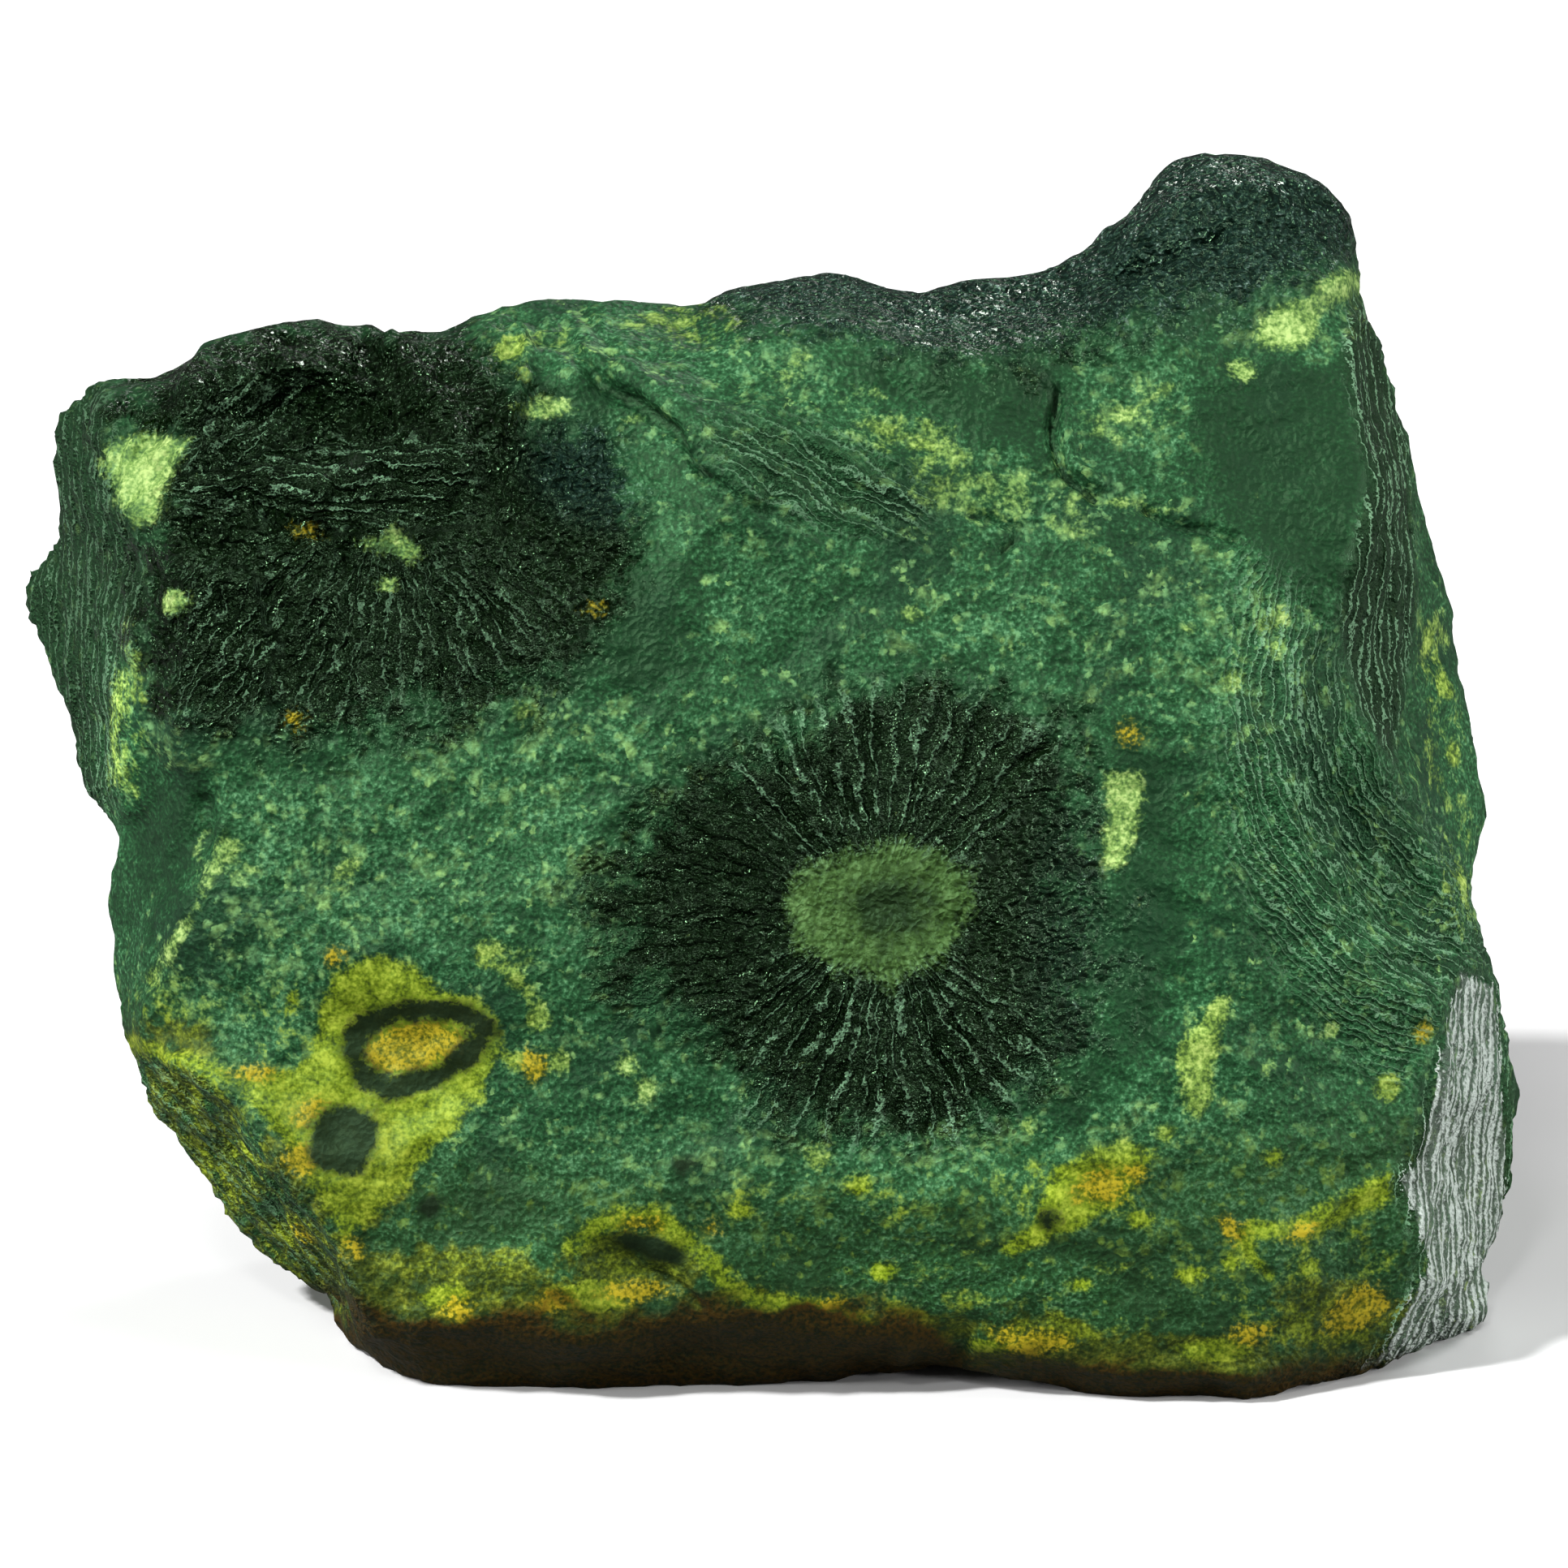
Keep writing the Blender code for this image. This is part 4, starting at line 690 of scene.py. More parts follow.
# Where the lime breaks up into wisps
WISP_BLOBS = [
    (0.0, 0.0, 60.0, 60.0, 0.1), (-3.3, 15.3, 2.4, 1.2, 0.75), (-7.6, 14.9, 1.8, 0.8, 0.6),
    (-9.0, 14.2, 1.4, 1.0, 0.55), (0.6, 13.9, 2.0, 0.9, 0.6), (2.0, 12.9, 1.8, 1.0, 0.55),
    (3.8, 11.7, 2.4, 0.8, 0.85), (5.2, 10.6, 1.4, 1.6, 0.8), (7.2, 9.6, 2.2, 1.2, 0.75),
    (9.4, 9.0, 1.6, 1.0, 0.6), (11.2, 12.2, 2.0, 0.9, 0.7), (12.4, 13.0, 1.0, 0.6, 0.6),
    (12.0, 9.2, 1.6, 0.5, 0.6), (-7.9, 12.6, 1.5, 0.5, 0.75), (-8.6, -5.8, 1.4, 0.9, 0.6),
    (-18.6, -2.4, 1.6, 1.4, 0.55), (-14.4, -3.0, 1.6, 0.9, 0.5), (-20.2, -7.4, 2.0, 1.4, 0.7),
    (-17.0, -8.0, 1.6, 1.8, 0.6), (-19.0, -12.4, 2.4, 3.4, 0.65), (-16.4, -15.6, 2.4, 1.6, 0.6),
    (-21.9, 2.0, 0.8, 3.6, 0.75), (18.6, 15.4, 1.6, 1.0, 0.5), (9.6, -13.6, 3.6, 1.8, 0.6),
    (4.0, -14.2, 2.4, 1.4, 0.5), (-0.6, -14.0, 1.8, 1.2, 0.5), (-9.6, -16.4, 4.6, 1.2, 0.6),
    (-4.4, -15.6, 3.0, 1.4, 0.65), (2.0, -17.6, 4.0, 0.9, 0.7), (18.2, -15.8, 3.0, 1.6, 0.6),
    (8.6, -18.4, 3.0, 0.9, 0.7), (17.8, -18.0, 3.4, 1.2, 0.75), (14.2, -8.0, 1.0, 1.4, 0.6),
    (13.8, -10.4, 1.4, 1.2, 0.5), (22.2, 3.0, 1.2, 5.0, 0.6), (22.8, -3.0, 1.0, 2.6, 0.65),
    (15.8, 5.0, 1.6, 1.6, 0.5), (23.4, -14.0, 1.0, 3.0, 0.5),
]

# Where the ground turns olive brown, and where its colour is made lighter as painted light
EARTHY_BLOBS = [
    (-14.6, -17.0, 1.8, 1.6, 0.9), (-6.6, -17.8, 2.0, 0.8, 0.9), (-11.0, -16.9, 4.0, 1.5, 0.9),
    (-5.0, -16.2, 2.6, 1.3, 0.9), (-1.6, -17.4, 2.2, 0.7, 0.7), (3.4, -18.3, 3.6, 0.7, 0.8),
    (12.0, -19.4, 7.0, 1.0, 0.95), (18.6, -17.8, 2.6, 1.3, 0.8), (8.2, -18.4, 2.4, 0.8, 0.7),
    (-16.4, -12.2, 1.2, 2.0, 0.6), (-16.8, -15.6, 2.6, 1.4, 0.5), (-19.6, -11.4, 1.6, 1.4, 0.5),
    (-12.6, -8.9, 2.0, 0.9, 0.6), (-20.6, -8.6, 2.0, 0.8, 0.5), (-14.4, -12.8, 2.0, 2.2, 0.9),
    (-20.4, -10.8, 1.4, 1.8, 0.6), (-18.6, -13.2, 1.4, 1.8, 0.6), (-16.4, -15.7, 1.2, 1.5, 0.6),
]
PAINTED_LIGHT_BLOBS = [
    (-20.4, -10.8, 1.4, 1.8, 0.7), (-18.6, -13.2, 1.4, 1.8, 0.7), (-16.4, -15.7, 1.2, 1.5, 0.7),
    (-22.4, 1.6, 1.0, 4.0, 0.7), (6.0, -13.0, 4.4, 2.2, 0.3), (12.0, -6.6, 3.0, 5.0, 0.25),
    (6.0, -17.0, 6.0, 1.6, 0.5), (22.4, 1.0, 1.2, 7.0, 0.4), (-10.0, -16.6, 4.0, 1.6, 0.5),
    (18.2, -1.6, 1.8, 5.0, 0.2),
]

# How deep a dot is for its width, how far back patches reach, and the deepest that a field says
PLACE_DEPTH = 1.5
PATCH_BACK = -3.0
FAR = 6.0

# How the material's places bend, and how deep a hollow is that counts in full
BEND_SIZE = 2.4
BEND = 0.4
DEEP_HOLLOW = 0.12

# The rays of the orbs on the other sides, whose pale crests are painted glints, and how wide an orb's core
# is for its ring
BACK_RAY_WIDTH = 0.55
BACK_RAY_STRETCH = 5
BACK_RAY_HEIGHT = 0.07
BACK_RAY_PALENESS = 0.04
CORE_SHARE = 0.4


def from_line(points, line):
    """The distance of each (across, up) point from an open line."""
    line = np.array(line, float)
    nearest = np.full(len(points), np.inf)
    for a, b in zip(line[:-1], line[1:], strict=True):
        run = b - a
        along = np.clip((points - a) @ run / (run @ run), 0, 1)
        nearest = np.minimum(nearest, np.hypot(*(points - a - along[:, None] * run).T))
    return nearest


def within(points, outline):
    """How far each (across, up) point lies inside the closed outline; less than 0 outside it."""
    outline = np.array(outline, float)
    nearest = from_line(points, [*outline, outline[0]])
    return np.where(inside(points, outline), nearest, -nearest)


def soft(value, low, high):
    """0 below low and 1 above high, with a smooth rise between."""
    share = np.clip((value - low) / (high - low), 0, 1)
    return share * share * (3 - 2 * share)


def sewn_skins():
    """One closed mesh from the front skin and the back skin, which share the rim.

    At a sharp corner of the rim both skins can have the same triangle: a flap without thickness, which goes.
    """
    rim = sampled(RIM, closed=True)
    mesh = bmesh.new()
    for edges, swell in ((FRONT, FRONT_SWELL), (BACK, -BACK_SWELL)):
        points, triangles = skin(rim, edges, swell)
        corners = [mesh.verts.new(placed(p)) for p in points]
        for triangle in triangles:
            mesh.faces.new([corners[i] for i in triangle])
    bmesh.ops.remove_doubles(mesh, verts=mesh.verts, dist=SEWING_GAP * MM)
    flaps = [face for face in mesh.faces if any(edge.is_boundary for edge in face.edges)]
    bmesh.ops.delete(mesh, geom=flaps, context="FACES")
    bmesh.ops.recalc_face_normals(mesh, faces=mesh.faces)
    return mesh


def new_object(name, mesh):
    """A new object in the scene with the shape of the bmesh, which is freed."""
    data = bpy.data.meshes.new(name)
    mesh.to_mesh(data)
    mesh.free()
    made = bpy.data.objects.new(name, data)
    bpy.context.scene.collection.objects.link(made)
    return made


def apply_modifiers(body):
    """The body's mesh as its modifiers leave it, in place of its own."""
    evaluated = body.evaluated_get(bpy.context.evaluated_depsgraph_get())
    finished = bpy.data.meshes.new_from_object(evaluated)
    body.modifiers.clear()
    body.data = finished


class Skin:
    """The stone's mesh as arrays: its corners, their normals and neighbours, and where they lie on it."""

    def __init__(self, mesh):
        self.mesh = mesh
        self.count = len(mesh.vertices)
        corners = np.empty(self.count * 3)
        mesh.vertices.foreach_get("co", corners)
        self.corners = corners.reshape(-1, 3) / MM
        ends = np.empty(len(mesh.edges) * 2, int)
        mesh.edges.foreach_get("vertices", ends)
        self.ends = ends.reshape(-1, 2)
        self.degree = np.bincount(self.ends.ravel(), minlength=self.count)
        self.refresh()

    def refresh(self):
        """Writes the corners to the mesh, and reads the normals and the places on the stone again."""
        self.mesh.vertices.foreach_set("co", (self.corners * MM).ravel())
        self.mesh.update()
        normals = np.empty(self.count * 3)
        self.mesh.vertices.foreach_get("normal", normals)
        self.normals = normals.reshape(-1, 3)
        across, back, up = (self.corners - (SET_ACROSS, SET_BACK, MIDDLE_HEIGHT)).T
        forward = up * math.sin(LEAN) - back * math.cos(LEAN)
        raised = up * math.cos(LEAN) + back * math.sin(LEAN)
        scale = 1 - forward * TAPER
        self.spots = np.column_stack([across / scale, raised / scale, forward])
        self.facing = self.normals @ (0, -math.cos(LEAN), math.sin(LEAN))

    def spread(self, values, times):
        """The values, averaged with their neighbours a number of times."""
        values = values.astype(float)
        for _ in range(times):
            total = [self.around(column) for column in values.reshape(self.count, -1).T]
            values = (values + np.array(total).T.reshape(values.shape)) / 2
        return values

    def around(self, column):
        """The mean of a value over each corner's neighbours."""
        first, second = self.ends.T
        total = np.bincount(first, column[second], self.count)
        total += np.bincount(second, column[first], self.count)
        return total / self.degree

    def push(self, distance):
        """Moves each corner along its normal, in millimetres."""
        self.corners += self.normals * distance[:, None]
        self.refresh()

    def hollowness(self, reach):
        """How hollow the skin is at each corner: above 0 in a hollow, below 0 on a ridge."""
        bend = np.einsum("ij,ij->i", self.spread(self.corners, reach) - self.corners, self.normals)
        return self.spread(bend, 2)

    def spot_at(self, across, up, front=True):
        """The place on the stone straight behind, or straight in front of, an (across, up) point."""
        side = np.flatnonzero(self.facing > 0.05 if front else self.facing < -0.05)
        gap = np.hypot(self.spots[side, 0] - across, self.spots[side, 1] - up)
        return self.spots[side[gap.argmin()]]


def rough(points, size, seed, kind="plain", octaves=3):
    """A noise over the points with lumps of about the given size, from -1 to 1, or ridges from 0 to 1."""
    shift = Vector((seed * 7.3, seed * -3.1, seed * 5.7))
    places = [Vector(p) + shift for p in points / size]
    if kind == "ridges":
        found = [1 - abs(noise.noise(p)) * 2 - 0.5 * abs(noise.noise(p * 2.1)) for p in places]
    elif kind == "bowls":
        found = [noise.voronoi(p)[0][0] for p in places]
    else:
        found = [noise.fractal(p, 1.0, 2.0, octaves) for p in places]
    return np.array(found)


def slanted(points):
    """The points turned about the forward axis, so that their second part runs up to the right."""
    across, up, forward = points.T
    return np.column_stack([0.8 * across - 0.6 * up, 0.6 * across + 0.8 * up, forward])


def laid_along(offset, spots, centre, outline):
    """Where points lie across and along ribs that run from a centre to the middle of an outline."""
    middle = np.mean(outline, axis=0)
    run = middle - centre
    run = run / np.hypot(*run)
    depth = RIB_DEPTH * run[1] * np.sign(middle[0]) * spots[:, 2]
    return offset @ (run[1], -run[0]) - depth, offset @ run


def turned_about(offset):
    """How far points lie round a centre, at RIB_RADIUS from it."""
    return np.arctan2(-offset[:, 1], -offset[:, 0]) * RIB_RADIUS


def rib_places(stone_skin):
    """Where each corner lies among the ribs, in rib widths, and how ribbed, high, pale and dim it is."""
    spots = stone_skin.spots
    wander = [rough(spots, RIB_WANDER_LENGTH, seed) for seed in (31, 32, 33)]
    moved = spots + RIB_WANDER * np.column_stack(wander)
    regions = []
    for way, centre, width, stretch, rise, pale, dull, softness, outline in RIBS.values():
        here = soft(within(spots[:, :2], outline), -softness, softness) * soft(spots[:, 2], *RIB_ENDS)
        offset = moved[:, :2] - centre
        if way == "out":
            across, along = turned_about(offset), np.hypot(*offset.T)
        elif way == "round":
            across, along = np.hypot(*offset.T), turned_about(offset)
        else:
            across, along = laid_along(offset, spots, centre, outline)
        found = np.column_stack([across, along / stretch, spots[:, 2] / RIB_STRETCH_BACK]) / width
        regions.append((here, found, rise, pale, dull))
    for across, up, radius, _ in BACK_ORBS:
        offset = moved - stone_skin.spot_at(across, up, front=False)
        here = soft(radius - np.linalg.norm(offset, axis=1), -0.6, 1.4) * soft(-spots[:, 2], 0, 2)
        along = np.hypot(*offset[:, :2].T) / BACK_RAY_STRETCH
        found = np.column_stack([turned_about(offset), along, offset[:, 2] / RIB_STRETCH_BACK])
        regions.append((here, found / BACK_RAY_WIDTH, BACK_RAY_HEIGHT, BACK_RAY_PALENESS, 0.0))

    places = spots / PLAIN_RIB_WIDTH
    amount, height, sheen_and_streaks, dim = np.zeros((4, len(spots)))
    for here, found, rise, pale, dull in regions:
        stronger = here > amount
        places[stronger] = found[stronger]
        height[stronger] = rise
        sheen_and_streaks[stronger] = pale
        dim[stronger] = dull
        amount = np.maximum(amount, here)
    return places, amount, height, sheen_and_streaks * amount, dim * amount


def patches(stone_skin, outlines=(), stripes=(), dots=(), back_dots=()):
    """About how far inside the nearest patch each corner lies, in millimetres. Outside, it is below 0."""
    spots = stone_skin.spots
    found = np.full(stone_skin.count, -FAR)
    for outline in outlines:
        found = np.maximum(found, within(spots[:, :2], outline))
    for points, half_width in stripes:
        line = sampled([(*p, 0) for p in points])[:, :2]
        found = np.maximum(found, half_width - from_line(spots[:, :2], line))
    found = np.minimum(found, spots[:, 2] - PATCH_BACK)
    for places, front in ((dots, True), (back_dots, False)):
        for across, up, half_width, half_height, *tilt in places:
            offset = spots - stone_skin.spot_at(across, up, front)
            turn = math.radians(sum(tilt))
            along = offset[:, :2] @ (math.cos(turn), math.sin(turn)) / half_width
            over = offset[:, :2] @ (-math.sin(turn), math.cos(turn)) / half_height
            deep = offset[:, 2] / (PLACE_DEPTH * max(half_width, half_height))
            reach = np.sqrt(along**2 + over**2 + deep**2)
            found = np.maximum(found, (1 - reach) * math.sqrt(half_width * half_height))
    return np.maximum(found, -FAR)


def orbs(stone_skin, part):
    """How far inside the orbs of the other sides each corner lies, or inside their rings or their cores."""
    found = np.full(stone_skin.count, -FAR)
    for across, up, radius, ring in BACK_ORBS:
        gap = np.linalg.norm(stone_skin.spots - stone_skin.spot_at(across, up, front=False), axis=1)
        size = {"rim": radius, "ring": ring, "core": ring * CORE_SHARE}[part]
        if size > 0:
            found = np.maximum(found, size - gap)
    return found


def blobs(stone_skin, places):
    """A soft field from 0 to 1, with a blob of the given amount at each of the places."""
    found = np.zeros(stone_skin.count)
    front = soft(stone_skin.spots[:, 2], -4, 0)
    for across, up, half_width, half_height, amount in places:
        reach = np.hypot(*((stone_skin.spots[:, :2] - (across, up)) / (half_width, half_height)).T)
        found = np.maximum(found, amount * front * soft(-reach, -1.3, -0.5))
    return found


def mark(stone_skin):
    """Keeps the markings' fields, and the places that the material's noise needs, as mesh attributes."""
    spots, normals = stone_skin.spots, stone_skin.normals
    across, up, _ = spots.T
    places, ribbed, _, sheen_and_streaks, dim = rib_places(stone_skin)
    facing_down = soft(-normals[:, 2], -0.3, 0.35)
    near_base = soft(-up - 2.2 * soft(across, 3, 7), 16, 18)
    foot = soft(-up + 0.12 * np.abs(across), 11.0, 19.5)
    low_left = soft(-across, 17, 22) * soft(-up, 5, 11)
    low = foot + 0.8 * low_left
    plain = patches(stone_skin, PLAIN_OUTLINES.values()) + 0.8 * rough(spots, 1.2, 22)
    faded = 1 - blobs(stone_skin, FADED_BLOBS)
    fields = {
        "dark": np.maximum(patches(stone_skin, DARK_OUTLINES.values()) * faded, orbs(stone_skin, "rim")),
        "lime": patches(stone_skin, LIME_OUTLINES.values(), LIME_STRIPES, LIME_DOTS, BACK_LIME_DOTS),
        "gold": patches(stone_skin, dots=GOLD_DOTS, back_dots=BACK_GOLD_DOTS),
        "ink": patches(stone_skin, stripes=INK_STRIPES, dots=INK_DOTS),
        "ring": np.maximum(patches(stone_skin, [RING_OUTLINE]), orbs(stone_skin, "ring")),
        "core": np.maximum(patches(stone_skin, dots=[RING_CORE]), orbs(stone_skin, "core")),
        "low": np.clip(low, 0, 1),
        "olive": np.maximum(soft(low, 0, 0.3), blobs(stone_skin, OLIVE_BLOBS)),
        # Faces that look down near the base: painted shade, in brown
        "under": facing_down * near_base,
        "cool": blobs(stone_skin, COOL_BLOBS),
        "wisps": np.maximum(blobs(stone_skin, WISP_BLOBS), 0.45 * low),
        # Where painted glints and sheen, and paler streaks, lie on the rib crests
        "sheen_and_streaks": np.maximum(sheen_and_streaks, blobs(stone_skin, SHEEN_BLOBS)),
        "flecked": np.clip(blobs(stone_skin, FLECKED_BLOBS) - 1.3 * soft(plain, -0.8, 1.0), -1, 1),
        "earthy": blobs(stone_skin, EARTHY_BLOBS),
        # Painted light: where the colour is made lighter
        "painted_light": blobs(stone_skin, PAINTED_LIGHT_BLOBS),
        "broad": rough(spots, 3.4, 21),
        "dim": dim,
        "ribbed": ribbed,
        # How hollow each corner is, which the material turns into painted shade
        "hollow": np.clip(stone_skin.hollowness(6) / DEEP_HOLLOW, -1, 1),
    }
    for name, values in fields.items():
        layer = stone_skin.mesh.attributes.new(name, "FLOAT", "POINT")
        layer.data.foreach_set("value", values.astype(np.float32))
    drift = np.column_stack([rough(spots, BEND_SIZE, seed, octaves=1) for seed in (23, 24, 25)])
    bent = spots + BEND * drift
    for name, values in {"bent_place": bent, "grain_place": spots, "rib_place": places}.items():
        layer = stone_skin.mesh.attributes.new(name, "FLOAT_VECTOR", "POINT")
        layer.data.foreach_set("vector", values.astype(np.float32).ravel())


def shape_relief(stone_skin):
    """Gives the even skin its ripples, ribs, chips and fissures."""
    stone_skin.corners = stone_skin.spread(stone_skin.corners, SMOOTHING_PASSES)
    stone_skin.refresh()
    stone_skin.push(np.full(stone_skin.count, GROWTH))
    spots = stone_skin.spots
    front = soft(stone_skin.facing, -0.1, 0.15)
    peaks = np.clip(-stone_skin.hollowness(14), 0, 0.4)
    from_rim = within(spots[:, :2], [point[:2] for point in RIM])
    inner = soft(from_rim, 0.5, 3.5) * front
    drift = np.column_stack([rough(spots, DRIFT_SIZE, seed) for seed in (1, 2, 3)])

    rise = np.zeros(stone_skin.count)
    for kind, size, amount, stretch, height, inner_height, seed in BREAKS:
        moved = (spots + amount * drift) * stretch
        rise += (height + inner_height * inner) * rough(moved, size, seed, kind)
    rise -= PEAK_WEAR * peaks * soft(rough(spots, 1.6, 7), -0.15, 0.5)

    bent = spots + DRIFT * drift
    lively = soft(within(spots[:, :2], LIVELY), -1.5, 1.0) * front * soft(from_rim, 0.0, 1.6)
    rise += lively * LIVELY_HEIGHT * rough(slanted(bent) * (1, 0.5, 1), 0.9, 8, "ridges")

    places, ribbed, rib_height, _, _ = rib_places(stone_skin)
    rise += ribbed * rib_height * rough(places, 0.65, 9, "ridges")

    for line, half_width, height in RELIEF_LINES.values():
        smooth_line = sampled([(*p, 0) for p in line])[:, :2]
        gap = from_line(spots[:, :2] + LINE_DRIFT * drift[:, :2], smooth_line)
        rise += front * height * np.exp(-((gap / half_width) ** 2))

    rise += (1 - front) * BACK_RIPPLE * rough(bent, 2.6, 10, "ridges")
    stone_skin.push(rise)
    stone_skin.corners[:, 2] = np.maximum(stone_skin.corners[:, 2], 0)
    stone_skin.refresh()


def stone():
    """The stone's body: an even skin, which gets its relief, then fewer triangles, then its markings."""
    body = new_object(PIECE, sewn_skins())
    even = body.modifiers.new("even_skin", "REMESH")
    even.mode = "VOXEL"
    even.voxel_size = VOXEL * MM
    apply_modifiers(body)
    shape_relief(Skin(body.data))
    fewer = body.modifiers.new("fewer_triangles", "DECIMATE")
    fewer.ratio = min(1, MOST_TRIANGLES / (2 * len(body.data.polygons)))
    apply_modifiers(body)
    body.data.shade_smooth()
    mark(Skin(body.data))
    return body


# The scale at which a wave texture has one wave for each unit
ONE_WAVE_A_UNIT = 0.1 * math.pi


class Shades:
    """Builds up a material. Each call adds a node and gives back its output. An input can be a number."""

    def __init__(self, tree):
        self.tree = tree

    def node(self, kind, inputs, **settings):
        made = self.tree.nodes.new(f"ShaderNode{kind}")
        for name, value in settings.items():
            setattr(made, name, value)
        for name, value in inputs.items():
            self.put(made.inputs[name], value)
        return made

    def put(self, socket, value):
        if isinstance(value, bpy.types.NodeSocket):
            self.tree.links.new(value, socket)
        else:
            socket.default_value = value

    def field(self, name):
        return self.node("Attribute", {}, attribute_name=name).outputs["Fac"]

    def place(self, name):
        return self.node("Attribute", {}, attribute_name=name).outputs["Vector"]

    def math(self, operation, first, second):
        return self.node("Math", {0: first, 1: second}, operation=operation).outputs[0]

    def sum(self, first, second):
        return self.math("ADD", first, second)

    def times(self, first, second):
        return self.math("MULTIPLY", first, second)

    def larger(self, first, second):
        return self.math("MAXIMUM", first, second)

    def weighted(self, *parts):
        """The sum of some values, each given with its share."""
        first, *others = parts
        product = self.times(*first)
        return self.sum(product, self.weighted(*others)) if others else product

    def step(self, value, low, high, to_low=0.0, to_high=1.0):
        """A smooth step between two levels of a value."""
        inputs = {"Value": value, "From Min": low, "From Max": high, "To Min": to_low, "To Max": to_high}
        return self.node("MapRange", inputs, interpolation_type="SMOOTHSTEP").outputs[0]

    def noise(self, place, per_mm, detail, rough):
        inputs = {"Vector": place, "Scale": per_mm, "Detail": detail, "Roughness": rough}
        return self.node("TexNoise", inputs, noise_dimensions="3D").outputs["Fac"]

    def ridges(self, place, per_mm):
        """Sharp crests, from about 0 in the valleys to 1."""
        offset = self.math("SUBTRACT", self.noise(place, per_mm, 1.0, 0.5), 0.5)
        return self.math("SUBTRACT", 1.0, self.times(self.math("ABSOLUTE", offset, 0.0), 4.0))

    def waves(self, place, waver, shake):
        """Wavering ribs from 0 to 1, which run along the second part of the place and are one unit wide."""
        inputs = {
            "Vector": place, "Scale": ONE_WAVE_A_UNIT, "Distortion": waver, "Detail": 1.0,
            "Detail Scale": 3.0, "Detail Roughness": 0.55, "Phase Offset": shake,
        }
        return self.node("TexWave", inputs, bands_direction="X", wave_profile="SIN").outputs["Fac"]

    def dots(self, place, per_mm, size, share):
        """Round spots in some of a pattern's cells, and a number from 0 to 1 for each. Size is in cells."""
        cells = self.node("TexVoronoi", {"Vector": place, "Scale": per_mm}, feature="F1")
        parts = self.node("SeparateColor", {0: cells.outputs["Color"]}).outputs
        grown = self.step(self.math("SUBTRACT", share, parts[0]), 0.0, 0.12, 0.0, size)
        inside = self.math("SUBTRACT", grown, cells.outputs["Distance"])
        return self.step(inside, -0.12, 0.34), parts[1]

    def jogged(self, place, per_mm, amount):
        """The place, shifted about by a noise that differs in each direction."""
        found = self.node("TexNoise", {"Vector": place, "Scale": per_mm, "Detail": 1.0}).outputs["Color"]
        shift = self.node("VectorMath", {0: found, 1: (0.5, 0.5, 0.5)}, operation="SUBTRACT").outputs[0]
        moved = self.node("VectorMath", {0: shift, 1: (amount,) * 3, 2: place}, operation="MULTIPLY_ADD")
        return moved.outputs[0]

    def mix(self, share, first, second):
        """A number between two others."""
        return self.node("Mix", {0: share, 2: first, 3: second}, data_type="FLOAT").outputs[0]

    def blend(self, share, first, second):
        """A colour between two others."""
        return self.node("Mix", {0: share, 6: first, 7: second}, data_type="RGBA").outputs[2]

    def ramp(self, value, stops):
        """A colour that runs through the stops, which are (level, colour)."""
        made = self.node("ValToRGB", {0: value})
        elements = made.color_ramp.elements
        while len(elements) < len(stops):
            elements.new(1.0)
        for element, (level, colour) in zip(elements, stops, strict=True):
            element.position = level
            element.color = colour
        return made.outputs["Color"]


def paint(red, green, blue):
    """The surface colour that looks about like the given screen colour in this studio's light."""
    screen = np.array([red, green, blue]) / 255
    linear = np.where(screen <= 0.04045, screen / 12.92, ((screen + 0.055) / 1.055) ** 2.4)
    return (*np.clip(linear / LIGHT_LEVEL, 0, 1), 1)


def tones(*stops):
    """The stops of a ramp, each given as a level and a screen colour: (level, red, green, blue)."""
    return [(level, paint(*colour)) for level, *colour in stops]


GROUND = tones((0.38, 14, 48, 26), (0.5, 26, 70, 38), (0.6, 48, 102, 62), (0.72, 100, 156, 110))
EARTH = tones((0.42, 40, 46, 4), (0.52, 84, 94, 14), (0.62, 134, 142, 40))
NIGHT = tones((0.38, 4, 12, 3), (0.52, 8, 21, 5), (0.63, 14, 32, 12), (0.74, 52, 78, 54))
# A cooler, greyer dark: partly the stone's teal, partly a painted sheen of the top light, with painted
# glints at its palest
COOL_NIGHT = tones((0.38, 14, 32, 26), (0.52, 26, 48, 40), (0.63, 48, 74, 64), (0.72, 132, 158, 148))
RING = tones((0.42, 36, 56, 12), (0.54, 66, 98, 42), (0.66, 98, 134, 74))
GREEN_LIME = tones((0.42, 70, 104, 50), (0.52, 134, 172, 86), (0.64, 206, 236, 142))
OLIVE_LIME = tones((0.4, 60, 78, 2), (0.52, 126, 150, 22), (0.66, 190, 210, 64))
OCHRE = tones((0.38, 66, 68, 0), (0.52, 112, 110, 6), (0.68, 196, 174, 34))
# The underside's brown, darkened as painted shade
SHADED_UNDERSIDE = tones((0.42, 26, 12, 0), (0.62, 70, 42, 0))
GROUND_DEEP = paint(14, 48, 26)
TEAL_DEEP = paint(16, 44, 32)
LOW_TINT = paint(34, 52, 10)
DIM = paint(10, 32, 14)
FLECK = paint(116, 168, 108)
FLECK_LIME = paint(152, 200, 116)
FLECK_OLIVE = paint(128, 164, 66)
CORE = paint(20, 38, 10)
INK = paint(8, 14, 3)
# A painted white reflection on the striated lower right face, then the green-white of painted glints on
# ripples and rays, in places over paler streaks
REFLECTED_WHITE = paint(230, 242, 234)
CREST = paint(164, 218, 172)
# Painted shade in the hollows
HOLLOW_SHADE = paint(8, 16, 8)
# How much lighter the colour is made where light is painted on
PAINTED_LIGHT_GAIN = (2.2, 2.2, 2.2)

